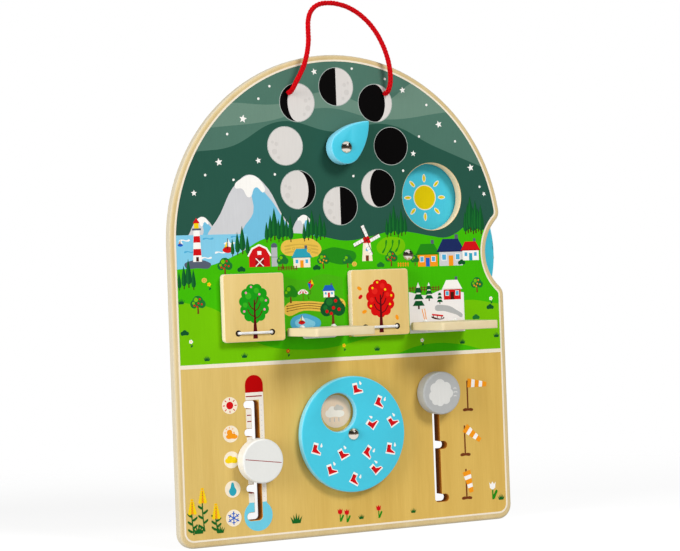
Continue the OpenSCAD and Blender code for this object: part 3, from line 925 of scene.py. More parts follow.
# Far hills and the inlet
for x, size in ((-122, 0.42), (-80, 1), (-34, 0.42)):
    hill = panel_print.moved(x, 234, size)
    hill.blob(HILL_GREY, (-38, 0), (-26, 26), (-11, 50), (0, 56), (12, 49), (27, 24), (40, 0), (0, -12))
    hill.blob(BLUE_HILL, (4, 47), (14, 40), (27, 22), (39, 0), (2, -10), (-8, 10), (2, 26))
    hill.blob(WHITE, (-13, 46), (-5, 54), (2, 55.4), (10, 50), (12, 42), (5, 46), (-1, 38), (-7, 45))
panel_print.shape(SEA, (-PICTURE_SIDE, 214), (-92, 222), (-84, 243.4), (-PICTURE_SIDE, 243.4))
waves = ((-142, 239), (-122, 240), (-104, 236), (-138, 230), (-112, 229), (-98, 241), (-124, 225))
for k, (x, z) in enumerate(waves):
    crest = [(x, z), (x + 3, z + 0.7), (x + 6, z), (x + 9, z + 0.6)]
    panel_print.line(DEEP_SEA if k % 2 else WHITE, crest, 0.8)

# Fields
hill_top = flowing(
    notch_side[-1], (126, 247), (116, 246), (106, 240), (96, 236.5), (82, 238), (66, 241), (48, 243),
    (26, 239), (4, 236), (-20, 240), (-48, 243), (-70, 239), (-92, 228), (-118, 219), (-PICTURE_SIDE, 217))
sunny_top = flowing(
    (PICTURE_SIDE, 180), (112, 184), (64, 172), (16, 156), (-40, 150), (-84, 160), (-112, 184),
    (-PICTURE_SIDE, 192))
rise_top = flowing((40, PICTURE_FOOT), (72, 149), (104, 148), (132, PICTURE_FOOT))
panel_print.fill(MEADOW, picture_foot + notch_side[:-1] + hill_top, smooth=False)
panel_print.fill(SUNNY, picture_foot + sunny_top, smooth=False)
panel_print.fill(MEADOW, rise_top, smooth=False)
panel_print.blob(SUNNY, (34, 235), (48, 238), (57, 233), (54, 225), (40, 223), (31, 228))
panel_print.blob(SHADED, (-14, 230), (2, 229), (12, 224), (6, 218), (-12, 219), (-22, 224))
panel_print.blob(STRAW, (-54, 235), (-44, 238), (-22, 235), (-20, 227), (-40, 225), (-54, 228))
for k in range(3):
    drop = k * 2.6
    furrow = [(-52, 232.5 - drop), (-38, 234 - drop), (-22, 231.8 - drop)]
    panel_print.line(tint(STRAW, 0.8), furrow, 0.7)
    panel_print.line(SHADED, [(36 + k * 6, 225 + k * 0.4), (39 + k * 6, 230), (40 + k * 6, 235.6)], 0.8)

lighthouse(panel_print.moved(-127, 220, 1.25))
boat(panel_print.moved(-101, 229.5, 0.9), RED, YELLOW)
boat(panel_print.moved(-141, 235, 0.45), BLUE, ORANGE)
for first, last, count, foot, size in (
    (-67, -46, 7, 237.5, 1.15), (-34, -16, 6, 237.5, 1.05), (41, 58, 6, 239, 1.1),
    (115, 130, 7, 240, 1.35), (-97, -84, 4, 227, 1.0), (-143, -131, 4, 202, 1.0),
):
    for k in range(count):
        x = first + (last - first) * k / (count - 1)
        poplar(panel_print.moved(x, foot + k % 3 - 1, size * (0.78 + 0.11 * (k * 2 % 5))))
barn(panel_print.moved(-74, 217, 1.3))
cottage(panel_print.moved(-37, 215.5, 1.25), CREAM, TEAL, ORANGE)
windmill(panel_print.moved(22, 219, 1.15))
for x, z, size, wall, roof, door in (
    (78, 213, 1.55, ORANGE, SHADED, BLUE), (100, 213, 1.85, HILL_GREY, NAVY, ORANGE),
    (119, 217, 1.3, WHITE, RED, TEAL),
):
    cottage(panel_print.moved(x, z, size), wall, roof, door)
for x, z, size, fruit in (
    (-104, 211, 1.0, RED), (-54, 215, 0.8, None), (-18, 214, 0.85, ORANGE), (4, 214, 0.75, None),
    (44, 214, 0.9, RED), (-128, 182, 1.0, RED), (124, 190, 0.9, ORANGE), (66, 214, 0.6, None),
):
    round_tree(panel_print.moved(x, z, size), LEAF, SUNNY, fruit=fruit)
for x, z, colour in (
    (-90, 214, FOREST), (-24, 213.5, FOREST), (34, 214, LEAF), (110, 214, FOREST), (-140, 166, FOREST),
    (122, 168, LEAF), (136, 176, FOREST),
):
    bush(panel_print.moved(x, z, 0.85), colour)
fence(panel_print.moved(-58, 213.5, 0.75), 8, BROWN)
fence(panel_print.moved(50, 213.5, 0.75), 5, ORANGE)
for x, z in ((-30, 227), (-44, 229), (10, 215), (-122, 206)):
    bale(panel_print.moved(x, z, 0.8))
for x, z, petal, heart in (
    (-135, 156, WHITE, YELLOW), (-52, 145, RED, YELLOW), (-2, 147, YELLOW, ORANGE),
    (70, 148, WHITE, YELLOW), (132, 160, RED, YELLOW), (-118, 200, YELLOW, ORANGE),
    (137, 180, WHITE, YELLOW),
):
    meadow_flower(panel_print.moved(x, z, 0.85), petal, heart)
for x, z in ((-122, 145), (-90, 146), (28, 146), (108, 148), (141, 152), (-142, 190)):
    tuft(panel_print.moved(x, z, 0.9), FOREST)


# Season pictures, each behind its door
def snowy_fir(pen):
    pen.box(DARK_BROWN, -0.6, -1, 0.6, 2)
    for low, half in ((1, 4.2), (5, 3.4), (9, 2.5)):
        pen.shape(FOREST, (-half, low), (half, low), (0, low + 6.4))
        pen.shape(WHITE, (-half * 0.5, low + 3.1), (half * 0.5, low + 3.1), (0, low + 6.4))


def kite(pen):
    pen.shape(RED, (0, 4.5), (3, 0.8), (0, -4.5), (-3, 0.8))
    pen.shape(YELLOW, (0, 4.5), (3, 0.8), (0, 0.8))
    pen.shape(BLUE, (0, 0.8), (0, -4.5), (-3, 0.8))
    pen.line(DARK_BROWN, flowing((0, -4.5), (1.6, -7), (-0.6, -9.5), (1, -12)), 0.35)


def parasol(pen):
    pen.box(BROWN, -0.3, 0, 0.3, 8)
    pen.blob(WHITE, (-6, 7.4), (-4, 10.6), (0, 12), (4, 10.6), (6, 7.4), (0, 8))
    for x in (-4, 0, 4):
        pen.shape(RED, (x - 1.1, 7.7), (x + 1.1, 7.7), (x * 0.3, 11.6))


def pumpkin(pen):
    for x in (-1.6, 1.6, 0):
        pen.round(ORANGE if x else tint(ORANGE, 0.85), x, 2, 1.7, 2)
    pen.box(FOREST, -0.35, 3.6, 0.35, 5)


def tulip(pen, colour):
    pen.line(SHADED, [(0, 0), (0, 5)], 0.6)
    pen.blob(SHADED, (0, 0), (1.8, 2), (2.2, 4), (0.8, 2.6))
    pen.shape(colour, (-1.6, 7.6), (-0.8, 6.6), (0, 7.8), (0.8, 6.6), (1.6, 7.6),
              (1.3, 5), (0, 4.2), (-1.3, 5))


def leaf(pen, colour):
    pen.blob(colour, (0, -1), (1.3, 0.6), (0, 3), (-1.3, 0.6))


DOOR_CENTRES = {"spring": -83, "summer": -27, "autumn": 29, "winter": 85}
DOOR_Z = 158.5
season = {name: panel_print.moved(x, DOOR_Z) for name, x in DOOR_CENTRES.items()}
for name, ground_ink, top in (("spring", srgb(92, 186, 24), 50), ("summer", srgb(70, 172, 14), 50),
                              ("autumn", STRAW, 34), ("winter", srgb(236, 232, 232), 34)):
    horizon = flowing((26, top - 2), (8, top + 1), (-10, top - 3), (-26, top))
    season[name].fill(ground_ink, [(-26, 0), (26, 0)] + horizon, smooth=False)

pen = season["spring"]
round_tree(pen.moved(12, 18, 1.8), PINK, WHITE, fruit=RED)
pen.blob(SEA, (-24, 12), (-10, 15), (0, 11), (-8, 7), (-22, 7))
for k in range(8):
    tulip(pen.moved(-22 + k * 6.2, 1 + k % 2 * 3, 0.8), (RED, YELLOW, PINK)[k % 3])
for x, z in ((-18, 40), (-6, 44), (-12, 30)):
    leaf(pen.moved(x, z, 0.9, 60), PINK)

pen = season["summer"]
pen.blob(STRAW, (-26, 27), (-8, 30), (12, 28.5), (26, 30), (26, 22), (10, 21), (-10, 22.5), (-26, 20))
for k in range(3):
    furrow = flowing((-25, 22.5 + k * 2), (-8, 24.5 + k * 1.9), (10, 23 + k * 2), (25, 24.5 + k * 1.9))
    pen.line(BROWN, furrow, 0.5)
pen.blob(DEEP_SEA, (-22, 14), (-14, 19.5), (-2, 18), (5, 12), (-4, 6), (-18, 7))
pen.blob(SEA, (-18, 13), (-12, 16.5), (-4, 15), (0, 11.5), (-8, 9))
round_tree(pen.moved(16, 9.5, 1.75), FOREST, LEAF, fruit=RED)
round_tree(pen.moved(-21, 29, 1.0), SHADED, SUNNY)
kite(pen.moved(-3, 43, 0.95, -14))
parasol(pen.moved(-10, 30.5, 0.75))
cottage(pen.moved(13, 32.5, 0.8), WHITE, BLUE, RED)
boat(pen.moved(-12, 12, 0.6), RED, YELLOW)
for x in (-24, -20, 4, 8):
    tulip(pen.moved(x, 3, 0.8), YELLOW)

pen = season["autumn"]
for x, z, size, crown, light in ((-14, 12, 1.9, ORANGE, YELLOW), (12, 18, 1.5, RED, ORANGE)):
    round_tree(pen.moved(x, z, size), crown, light)
for x, z in ((-2, 4), (6, 6), (14, 4)):
    pumpkin(pen.moved(x, z, 1.2))
for x, z, turn in ((-20, 8, 30), (-6, 14, -40), (2, 26, 80), (20, 12, 10), (-2, 40, -20)):
    leaf(pen.moved(x, z, 1.0, turn), RED if turn > 0 else BROWN)

pen = season["winter"]
fence(pen.moved(-25, 34, 0.9), 11, BROWN)
cottage(pen.moved(15, 26.5, 1.35), RED, WHITE, DARK_BROWN)
for x, z, size in ((-17, 21, 1.35), (-7, 27, 0.95), (3, 24, 0.7)):
    snowy_fir(pen.moved(x, z, size))
pen.blob(GREY, (-2, 20), (8, 22), (18, 18), (24, 12), (18, 14), (8, 17))
sled = pen.moved(0, 11.5, 0.95, -8)
sled.line(DARK_BROWN, [(-6, 0.6), (5, 0), (6.6, 1.6)], 0.7)
for x in (-4, 0, 4):
    sled.box(DARK_BROWN, x - 0.4, 0.4, x + 0.4, 2.2)
sled.box(RED, -5.6, 2, 5.6, 3.4)
for x, z, turn in ((-12, 11, 14), (-10.4, 11, 8)):
    pen.moved(x, z, 1, turn).box(ORANGE, -0.4, 0, 0.4, 9)

# Border line and the band under the picture
LINE_WHITE = srgb(236, 224, 203)
LINE_WIDTH = 1.45
BAND_HALF, BAND_PAST = 1.55, 0.6
panel_print.fill(LINE_WHITE, outline(PICTURE_INSET - LINE_WIDTH), outline(PICTURE_INSET), smooth=False)
panel_print.box(LINE_WHITE, -PICTURE_SIDE - BAND_PAST, PICTURE_FOOT - BAND_HALF,
                PICTURE_SIDE + BAND_PAST, PICTURE_FOOT + BAND_HALF)


# Thermometer scale, cut away where its slot and notches are, with a sign beside each notch
def sun_sign(pen, colour, r=2.2):
    pen.round(colour, 0, 0, r)
    for k in range(8):
        pen.moved(0, 0, 1, 45 * k).box(colour, -0.28 * r / 2.2, r * 1.35, 0.28 * r / 2.2, r * 1.95)


def drop_sign(pen, colour):
    pen.blob(colour, (0, 4.4), (1.3, 1.6), (2.3, -0.8), (0, -3.2), (-2.3, -0.8), (-1.3, 1.6))


def flake_sign(pen, colour):
    for turn in (0, 60, 120):
        arm = pen.moved(0, 0, 1, turn)
        arm.box(colour, -0.35, -4.2, 0.35, 4.2)
        for end in (-2.8, 2.8):
            arm.box(colour, -1.2, end - 0.3, 1.2, end + 0.3)


SLOT_HALF = 3.1 + INNER_EASE
THERMOMETER_X = -82.5
THERMOMETER_NOTCHES = (21, 43, 65, 87, 109)
SCALE_LEFT, SCALE_RIGHT = -90.6, -75.2
SCALE_FOOT, SCALE_TOP = 31, 118.5
NOTCH_REACH = 6.6
SCALE_CAP = 124.5
BULB = (THERMOMETER_X - 0.4, 21.5, 12.2)
COLUMN = srgb(232, 224, 212)
BULB_BLUE = srgb(108, 198, 220)
CAP_RED = srgb(176, 1, 3)
slot_left, slot_right = THERMOMETER_X - SLOT_HALF, THERMOMETER_X + SLOT_HALF
slot_top = THERMOMETER_NOTCHES[-1] + SLOT_HALF
for low, high in zip(THERMOMETER_NOTCHES, THERMOMETER_NOTCHES[1:]):
    panel_print.box(COLUMN, SCALE_LEFT, max(low + SLOT_HALF, SCALE_FOOT), slot_left, high - SLOT_HALF)
panel_print.box(COLUMN, slot_right, SCALE_FOOT, SCALE_RIGHT, slot_top)
panel_print.box(COLUMN, SCALE_LEFT, slot_top, SCALE_RIGHT, SCALE_TOP)
scale_middle = (SCALE_LEFT + SCALE_RIGHT) / 2
scale_half = (SCALE_RIGHT - SCALE_LEFT) / 2
panel_print.fill(CAP_RED, [(SCALE_RIGHT, SCALE_TOP)] + arc(scale_middle, SCALE_CAP, scale_half, 0, 180, 16)
                 + [(SCALE_LEFT, SCALE_TOP)], smooth=False)
panel_print.box(DARK_RED, SCALE_LEFT + 0.4, 115, SCALE_RIGHT - 1.2, 115.9)
for z in (100.3, 95.4, 76, 54, 39.2):
    panel_print.box(DARK_RED, SCALE_LEFT + 0.8, z, slot_left - 0.2, z + 0.8)
for z in range(36, 112, 4):
    panel_print.box(GREY, slot_right + 1.2, z, slot_right + 2.2, z + 0.35)
foot_notch = (THERMOMETER_X - NOTCH_REACH, THERMOMETER_NOTCHES[0])
neck = math.degrees(math.acos(scale_half / BULB[2]))
bulb_top = SCALE_FOOT + 1
panel_print.fill(
    BULB_BLUE,
    [(slot_right, bulb_top), (SCALE_RIGHT, bulb_top)] + arc(*BULB, neck, -180 - neck, 48)
    + [(SCALE_LEFT, bulb_top), (slot_left, bulb_top), (slot_left, foot_notch[1] + SLOT_HALF)]
    + arc(*foot_notch, SLOT_HALF, 90, 270, 12)
    + arc(THERMOMETER_X, foot_notch[1], SLOT_HALF, 270, 360, 8), smooth=False)
ICON_X, ICON_R = -104.2, 6.6
ICON_DISC = srgb(239, 226, 202)
for z, colour in ((109.3, RED), (87, ORANGE), (66.8, YELLOW), (43.8, TEAL), (21.2, BLUE)):
    pen = panel_print.moved(ICON_X, z)
    pen.fill(ICON_DISC, ring(0, 0, ICON_R, count=16))
    if colour == RED:
        sun_sign(pen, colour, 3)
    elif colour == ORANGE:
        sun_sign(pen.moved(-1, 1.2), colour, 2.3)
        cloud(pen.moved(0.6, -3.6, 0.66), colour)
    elif colour == YELLOW:
        cloud(pen.moved(-0.2, -2.4, 0.78), colour)
    elif colour == TEAL:
        drop_sign(pen.moved(0, -0.8, 1.4), colour)
    else:
        flake_sign(pen.moved(0, 0, 1.25), colour)


# Weather signs under the rain wheel, one of them seen through its hole
WHEEL_Z = 80.5
HOLE_REACH, HOLE_ANGLE = 22, 125
SIGN_MIDDLE, SIGN_R = (1.2, 0.6), 13.2
SIGN_DISC = srgb(232, 204, 176)
SIGN_CLOUD = srgb(240, 230, 216)
SIGN_SHADE = srgb(200, 192, 180)
for k, sign in enumerate(("cloud", "sun", "drop", "flake")):
    a = math.radians(HOLE_ANGLE + 90 * k)
    pen = panel_print.moved(HOLE_REACH * math.cos(a), WHEEL_Z + HOLE_REACH * math.sin(a))
    pen.fill(SIGN_DISC, ring(*SIGN_MIDDLE, SIGN_R, count=16))
    if sign == "cloud":
        cloud(pen.moved(-0.4, -3.6, 1.15), SIGN_CLOUD)
        cloud(pen.moved(3.4, 1.6, 0.6), SIGN_SHADE)
        for x in (-4.5, -0.5, 3.5):
            pen.moved(x, -6).box(GREY, -0.3, -1.6, 0.3, 1.6)
    elif sign == "sun":
        sun_sign(pen.moved(*SIGN_MIDDLE), YELLOW, 4.6)
    elif sign == "drop":
        drop_sign(pen.moved(1.2, 0, 1.8), DEEP_SEA)
    else:
        flake_sign(pen.moved(*SIGN_MIDDLE, 1.9), BLUE)


# Windsocks beside the wind slot, and flowers along the foot
def windsock(pen, droop):
    pen.line(BROWN, [(0, -9), (0, 8)], 0.9)
    pen.blob(BROWN, (-3.4, -9.4), (-1.6, -8.2), (0, -8.6), (1.8, -8.3), (3.6, -9.4), (0, -9.8))
    sock = pen.moved(0.3, 6.6, 1, -droop)
    sock.shape(ORANGE, (0, -2.7), (0, 2.7), (13, 1.3), (13, -1.3))
    for start in (2.6, 7.8):
        end, narrower = start + 2.3, start * 0.107
        wide, narrow = 2.7 - narrower, 2.45 - narrower
        sock.shape(WHITE, (start, -wide), (start, wide), (end, narrow), (end, -narrow))


for x, z, droop in ((111, 106, 6), (107, 69, 38), (107, 33, 76)):
    windsock(panel_print.moved(x, z, 1.4), droop)
STEM = srgb(22, 96, 34)


def flower_spike(pen, height):
    """A tall stem with leaves on both sides, and rows of small flowers that close in to a tip."""
    pen.line(STEM, flowing((0.8, -height), (-0.4, -height * 0.5), (0, 0)), 0.9)
    for k, share in enumerate((0.4, 0.52, 0.64, 0.76, 0.88)):
        z, side = -height * share, 1 if k % 2 else -1
        pen.blob(STEM, (0, z - 1.2), (side * 2.4, z + 1.2), (side * 4, z + 1.8), (side * 2.8, z - 0.6))
    for k in range(6):
        z, half, r = 2 * k - 8, 2.1 - 0.32 * k, 1.5 - 0.13 * k
        for x in (-half, half, 0):
            pen.round(YELLOW if x else ORANGE, x, z, r if x else r * 0.7)


for x, z, height in ((-139, 36, 25), (-130, 44, 31), (-119, 31, 19)):
    flower_spike(panel_print.moved(x, z), height)
for x, z, size in ((-134, 11.5, 1.5), (-116, 10.5, 1.2), (-50, 12.5, 1.6), (8, 11, 0.8), (56, 12, 0.8),
                   (140, 16, 1.0)):
    tuft(panel_print.moved(x, z, size), STEM)
for x, z in ((-11, 10.5), (24, 10.5), (-5, 9.5)):
    tulip(panel_print.moved(x, z, 1.35), RED)
tulip(panel_print.moved(132, 17, 1.9), WHITE)
panel_print.laid_on("board", screen_ink)


# Moon pointer: a drop of solid wood, rounded over on all its edges and sprayed sky blue.
# It turns on a rivet through its round end, on a spacer that holds it off the panel.
SKY_PAINT = srgb(66, 196, 220)


def paint_finish(name, colour, side=None):
    """Satin paint on wood: almost even, with a fine sprayed texture; a side colour, when given, is painted
    light that makes the sides paler, as if lit from the side.
    """
    material, place = finish(name, Specular_IOR_Level=0.3)
    peel = noise(place, 420, 3.0)
    cloudy = noise(place, 40, 2.0) * 0.6 + peel * 0.4
    painted = cloudy.mix(tint(colour, 0.94), tint(colour, 1.05))
    # Painted light: the sides take a paler colour, as if lit
    if side:
        normal = place.node("TexCoord", output=1)
        facing = abs(normal.node("SeparateXYZ", {0: normal}, output=1))
        painted = facing.node("MapRange", {0: facing, 1: 0.5, 2: 0.97}).mix(side, painted)
    feed(material, Base_Color=painted, Roughness=peel * 0.16 + 0.28, Normal=bump(peel, 0.0001, 0.25))
    return material


def eased_piece(node, material, radius, segments=3):
    """A CAD node's shape with all its hard edges rounded over, standing for the node on its own body."""
    shape = merged_copy(node)
    ease(shape, hard_edges(shape), radius, segments)
    piece = link_mesh(meshed(node + "_eased", shape), node, material, smooth_angle=30)
    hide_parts(node)


# The paler blue on the sides is painted light
blue_paint = paint_finish("sky blue paint", SKY_PAINT, side=srgb(134, 214, 238))
eased_piece("moon_pointer", blue_paint, radius=1.1)


# Day and night disc: a thin wooden disc behind the panel, its face printed half as day and half as
# night. It turns on a rivet; the window shows a part of it, and the notch bares its rim for a finger.
DISC = (60, 223, 87.5)
DISC_FRONT = 5.65
DISC_EASE = 0.25
PRINT_R, PRINT_HOLE_R = DISC[2] - 0.03, 4.2
DAY_FROM, DAY_TO = -62, 118
disc_wood = wood_finish("disc wood", srgb(228, 204, 150), srgb(214, 182, 118), srgb(236, 219, 188))
eased_piece("day_night_disc", disc_wood, radius=DISC_EASE)
disc_print = Print("day_night_print", on_front(DISC_FRONT))
disc_pen = disc_print.moved(*DISC[:2])
for ink, first, last in ((srgb(72, 192, 216), DAY_FROM, DAY_TO), (NAVY, DAY_TO, DAY_FROM + 360)):
    half = arc(0, 0, PRINT_R, first, last, 120) + arc(0, 0, PRINT_HOLE_R, last, first, 12)
    disc_pen.fill(ink, half, smooth=False)
SUN_R = 9.8
SUN_YELLOW = srgb(216, 194, 8)
sun_pen = disc_pen.moved(22.9, 47.2)
sun_pen.fill(CREAM, ring(0, 0, SUN_R + 0.7, count=16))
sun_pen.fill(SUN_YELLOW, ring(0, 0, SUN_R, count=16))
for k in range(8):
    ray = sun_pen.moved(0, 0, 1, 45 * k)
    ray.blob(CREAM, (-1.15, 13.6), (-1.15, 18.2), (0, 19.4), (1.15, 18.2), (1.15, 13.6), (0, 12.6))
    ray.blob(SUN_YELLOW, (-0.65, 13.9), (-0.65, 17.8), (0, 18.6), (0.65, 17.8), (0.65, 13.9), (0, 13.2))
for x, z, size in ((60, 26, 1.2), (26, -22, 1.0), (50, -30, 1.3), (-6, 68, 0.9)):
    cloud(disc_pen.moved(x, z, size), WHITE)
night_moon = disc_pen.moved(-26, -46)
night_moon.fill(MOON, ring(0, 0, 11, count=16))
night_moon.fill(NAVY, ring(5, 3, 9.4, count=16))
for x, z, r in ((-58, -20, 3), (-40, -8, 2.2), (-66, 10, 2.6), (-50, 40, 2.8),
                (-2, -66, 2.8), (-14, -28, 2), (-34, 22, 2.2), (-44, -62, 2.4)):
    star(disc_pen.moved(x, z, 1, 11 * r), r)
disc_print.laid_on("day_night_disc", screen_ink)


# Rain wheel: a wooden disc with a round hole, rounded over, sprayed sky blue and printed with rain
# boots. It turns on a rivet, and its hole shows one weather sign at a time.
WHEEL_FRONT = -12.15
eased_piece("rain_wheel", blue_paint, radius=1.2, segments=4)
wheel_print = Print("rain_print", on_front(WHEEL_FRONT))


def boot(pen):
    pen.shape(WHITE, (-2.9, 5), (1.4, 5), (1.5, 0.8), (3.2, -0.4), (5.4, -1.4), (5.6, -3.8),
              (-3.1, -3.8), (-2.7, 0))
    pen.shape(RED, (-2.3, 3.4), (0.9, 3.4), (1, 0.4), (2.9, -0.9), (4.9, -1.8), (5, -2.7),
              (-2.5, -2.7), (-2.2, 0))
    pen.box(DARK_RED, -2.3, -0.6, -1.4, 3.4)
    drop_sign(pen.moved(4.2, 4, 0.42, 10), WHITE)


wheel_pen = wheel_print.moved(0, WHEEL_Z)
for reach, angle, turn in (
    (36, 84, 8), (34, 46, -26), (36, 12, 30), (35, -24, -12), (35, -58, 40), (36, -92, -30), (35, -128, 14),
    (36, -164, -18), (18, 22, 52), (19, -52, -40), (19, -124, 24),
):
    a = math.radians(angle)
    boot(wheel_pen.moved(reach * math.cos(a), reach * math.sin(a), 1.02, turn))
wheel_print.laid_on("rain_wheel", screen_ink)


# Rivets: plated domes with clinched backs; a nylon spacer under each turning piece and a
# steel washer at its back.
def dress(node, material):
    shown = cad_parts[node]
    shown.data.materials.clear()
    shown.data.materials.append(material)
    shown.data.polygons.foreach_set("use_smooth", [True] * len(shown.data.polygons))


def metal_finish(name, colour, roughness):
    material, place = finish(name, Metallic=1.0)
    wear = noise(place, 900, 4.0)
    feed(material, Base_Color=wear.mix(tint(colour, 0.85), tint(colour, 1.15)),
         Roughness=wear * 0.12 + roughness, Normal=bump(wear, 0.00004, 0.4))
    return material


def plastic_finish(name, colour):
    material, place = finish(name)
    mould = noise(place, 700, 3.0)
    feed(material, Base_Color=mould.mix(tint(colour, 0.92), tint(colour, 1.04)),
         Roughness=mould * 0.2 + 0.35, Normal=bump(mould, 0.00005, 0.3))
    return material


chrome = metal_finish("chrome", srgb(222, 214, 202), 0.05)
steel = metal_finish("washer steel", srgb(176, 176, 174), 0.3)
nylon = plastic_finish("nylon", srgb(236, 234, 228))
for owner in ("moon", "rain", "disc"):
    dress(owner + "_rivet", chrome)
    dress(owner + "_spacer", nylon)
    dress(owner + "_washer", steel)


# Season doors: pale wood, edges rounded over, a tree printed on the front of each.
# Two stand closed and two lie open as shelves on their elastic.
DOOR_FRONT = -11.5
DOOR_BACK = -5.0
DOOR_EASE = 0.55
HINGE_Y, HINGE_Z = -9.6, 163.1
OPEN_DOORS = ("summer", "winter")
CORD_HALF_GAP = 14
CORD_Z = 165.5
CORD_HOLE_R = 1.6
# Round each cord hole a dark ring, shifted outwards: a burn mark round the drilled hole and painted shadow
# of the hole
BURN_AND_SHADOW_WIDTH = 0.85
BURN_AND_SHADOW_SHIFT = 0.6
BURN_AND_SHADOW = srgb(30, 15, 8)
TRUNK = srgb(86, 12, 18)
fold_out = (Matrix.Translation((0, HINGE_Y * MM, HINGE_Z * MM)) @ Matrix.Rotation(math.pi / 2, 4, "X")
            @ Matrix.Translation((0, -HINGE_Y * MM, -HINGE_Z * MM)))
closed_wood = wood_finish("door wood", srgb(228, 200, 132), srgb(216, 184, 108), srgb(244, 220, 192))
open_wood = wood_finish("open door wood", srgb(228, 212, 174), srgb(216, 196, 152), srgb(226, 210, 172),
                        turn=(math.pi / 2, 0, 0))
DOOR_INKS = {"spring": (srgb(24, 150, 20), srgb(54, 172, 30), PINK), "summer": (SHADED, MEADOW, RED),
             "autumn": (srgb(208, 14, 12), srgb(224, 34, 26), YELLOW), "winter": (TEAL, SEA, WHITE)}


def door_tree(pen, crown, light, fruit):
    """A tree for a door's front: a ring of round tufts on a trunk with three pairs of branches."""
    pen.fill(crown, ring(0, 30, 9.5, 11.5))
    for k in range(11):
        a = 2 * math.pi * (k + 0.25) / 11
        pen.round(crown, 9 * math.cos(a), 30 + 11.5 * math.sin(a), 4.2)
    for x, z, r in ((-5, 36, 2.6), (2, 40, 2.2), (-8, 29, 2), (6.5, 33, 1.8)):
        pen.round(light, x, z, r)
    pen.shape(TRUNK, (-2, 2.4), (2, 2.4), (0.9, 18), (0.5, 33), (-0.5, 33), (-0.9, 18))
    for z, side, reach in ((20, 1, 6.5), (21.5, -1, 6), (26, 1, 5), (27, -1, 5), (31, 1, 3)):
        pen.line(TRUNK, flowing((0, z - 2), (side * reach * 0.6, z), (side * reach, z + 4)), 0.75)
    for x, z in ((-9, 24), (8.5, 25), (-7, 38.5), (4.5, 37), (10, 32), (-2.5, 43)):
        pen.round(fruit, x, z, 0.95)


for name, x in DOOR_CENTRES.items():
    body = name + "_door"
    wood = open_wood if name in OPEN_DOORS else closed_wood
    eased_piece(body, wood, radius=DOOR_EASE)
    place = on_front(DOOR_FRONT)
    if name in OPEN_DOORS:
        place = fold_out @ place
    door_print = Print(name + "_door_print", place)
    door_pen = door_print.moved(x, DOOR_Z)
    door_tree(door_pen, *DOOR_INKS[name])
    for side in (-CORD_HALF_GAP, CORD_HALF_GAP):
        # Burn mark and painted shadow round the hole, wider on its outer side
        burn_and_shadow_x = side * (1 + BURN_AND_SHADOW_SHIFT / CORD_HALF_GAP)
        door_pen.fill(BURN_AND_SHADOW, ring(burn_and_shadow_x, CORD_Z - DOOR_Z, CORD_HOLE_R + BURN_AND_SHADOW_WIDTH, count=16),
                      ring(side, CORD_Z - DOOR_Z, CORD_HOLE_R, count=16))
    if name == "autumn":
        for lx, lz, turn in ((-18, 38, 60), (-19, 31, -50), (15, 13, 20), (-14, 20, 110)):
            leaf(door_pen.moved(lx, lz, 1.1, turn), RED if turn == -50 else ORANGE)
    door_print.laid_on(body, screen_ink)


# Elastic cords: white braided elastic, up through the panel and a door, across the door's face
# and back, knotted in a recess at the panel's back. It bends where the door folds.
ELASTIC_D = 2.5
ELASTIC_PITCH = 6
RUN_Y = -12.8
TURN_R, TURN_RINGS, RUN_RINGS = 1.3, 8, 34
LEG_STEP, LEG_RINGS, GAP_RINGS = 0.7, 9, 14
TIE_R, TIE_TURNS, TIE_RINGS = 1.5, 1.15, 14
TIE_BACK, TIE_FRONT = 2.9, 1.0
white_elastic = cord_finish("white elastic", srgb(246, 246, 244))
# Round the hinge of an open door, the cord's radius and angle at the panel and at the door
FOLD_R = (5.64, 5.19)
FOLD_TURN = (25.2, 117.5)


def cord_leg(x, is_open):
    """One leg of a cord from its knot to the door's front, as points at rest."""
    leg = []
    for k in range(TIE_RINGS + 1):
        share = k / TIE_RINGS
        a = 2 * math.pi * TIE_TURNS * share
        y = TIE_BACK + (TIE_FRONT - TIE_BACK) * share
        leg.append(Vector((x + TIE_R * math.cos(a), y, CORD_Z + TIE_R * math.sin(a))))
    leg += [Vector((x, y, CORD_Z)) for y in (-1.2, -2.2, -3.2, -4.2)]
    for k in range(GAP_RINGS + 1):
        share = k / GAP_RINGS
        if is_open:
            a = math.radians(FOLD_TURN[0] + (FOLD_TURN[1] - FOLD_TURN[0]) * share)
            r = FOLD_R[0] + (FOLD_R[1] - FOLD_R[0]) * share
            leg.append(Vector((x, HINGE_Y + r * math.cos(a), HINGE_Z + r * math.sin(a))))
        else:
            leg.append(Vector((x, BOARD_FRONT + (DOOR_BACK - BOARD_FRONT) * share, CORD_Z)))
    for k in range(1, LEG_RINGS + 1):
        if is_open:
            z = HINGE_Z + (DOOR_BACK - HINGE_Y) - LEG_STEP * k
            leg.append(Vector((x, HINGE_Y - (CORD_Z - HINGE_Z), z)))
        else:
            leg.append(Vector((x, DOOR_BACK - LEG_STEP * k, CORD_Z)))
    return [point * MM for point in leg]


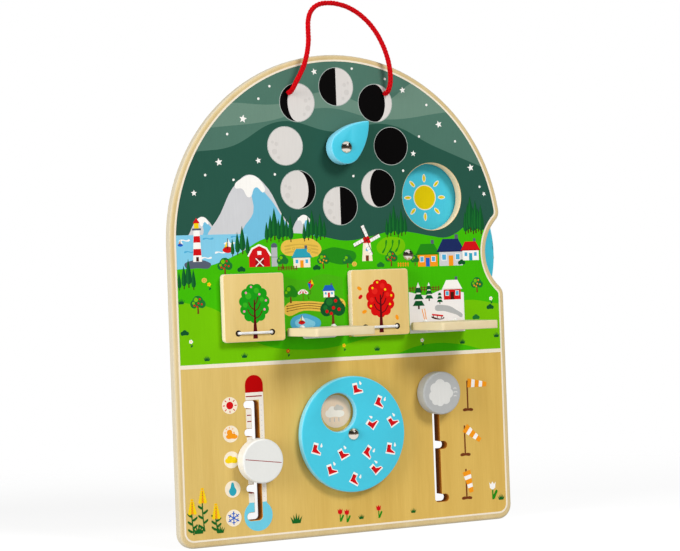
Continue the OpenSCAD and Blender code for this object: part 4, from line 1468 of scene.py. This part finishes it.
for name, centre in DOOR_CENTRES.items():
    is_open = name in OPEN_DOORS
    left = cord_leg(centre - CORD_HALF_GAP, is_open)
    right = cord_leg(centre + CORD_HALF_GAP, is_open)
    run_left = centre - CORD_HALF_GAP
    run_length = 2 * CORD_HALF_GAP - 2 * TURN_R
    run = []
    for k in range(TURN_RINGS + 1):
        a = math.pi / 2 * k / TURN_RINGS
        run.append((run_left + TURN_R * (1 - math.cos(a)), RUN_Y + TURN_R * (1 - math.sin(a))))
    for k in range(1, RUN_RINGS):
        run.append((run_left + TURN_R + run_length * k / RUN_RINGS, RUN_Y))
    run += [(2 * centre - x, y) for x, y in run[TURN_RINGS::-1]]
    across = [Vector((x, y, CORD_Z)) * MM for x, y in run]
    if is_open:
        across = [fold_out @ p for p in across]
    cord_mesh = braid(name + "_cord", left + across + right[::-1], ELASTIC_D * MM, ELASTIC_PITCH * MM)
    cord = link_mesh(cord_mesh, None, white_elastic)
    name + "_door"
    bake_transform(cord)
    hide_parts(name + "_elastic", name + "_elastic_ends")


# Sliders: a painted knob on a wooden pin that runs in its slot, held by a disc behind.
# The white knob has a mark across it, the grey one a cloud.
KNOB_FRONT = -16.9
white_paint = paint_finish("white paint", srgb(226, 226, 222))
grey_paint = paint_finish("grey paint", srgb(175, 176, 175))
bare_wood = wood_finish("bare beech", srgb(226, 196, 146), srgb(206, 168, 112), srgb(222, 192, 146))
for owner, paint in (("thermometer", white_paint), ("wind", grey_paint)):
    dress(owner + "_knob", paint)
    dress(owner + "_pin", bare_wood)
    dress(owner + "_retainer", bare_wood)
THERMOMETER_REST = (THERMOMETER_X, 65)
WIND_REST = (80.2, 109)
mark_print = Print("thermometer_mark", on_front(KNOB_FRONT))
mark_print.moved(*THERMOMETER_REST, 1, -8).box(DARK_RED, -15.4, -0.3, 15.7, 0.3)
mark_print.laid_on("thermometer_slider", screen_ink)
wind_print = Print("wind_cloud", on_front(KNOB_FRONT))
wind_pen = wind_print.moved(*WIND_REST, 1.2)
CLOUD_GREY = srgb(214, 213, 209)
for x, z, r in (
    (-1.5, 0, 6), (-7, -1.6, 3.4), (-5.6, 3.4, 3.6), (-1.6, 5.4, 4.2), (3, 3.6, 3.8), (5.2, -0.4, 3.2),
    (2.6, -4.2, 3.4), (-1.8, -5.6, 3.2), (-5.4, -5, 2.8),
):
    wind_pen.round(CLOUD_GREY, x, z, r)
for z, length in ((2.6, 2.6), (0, 3.6), (-2.6, 2.6)):
    wind_pen.line(CLOUD_GREY, [(8.9, z), (8.9 + length * 0.4, z + 0.4), (8.9 + length * 0.8, z)], 0.5)
wind_print.laid_on("wind_slider", screen_ink)
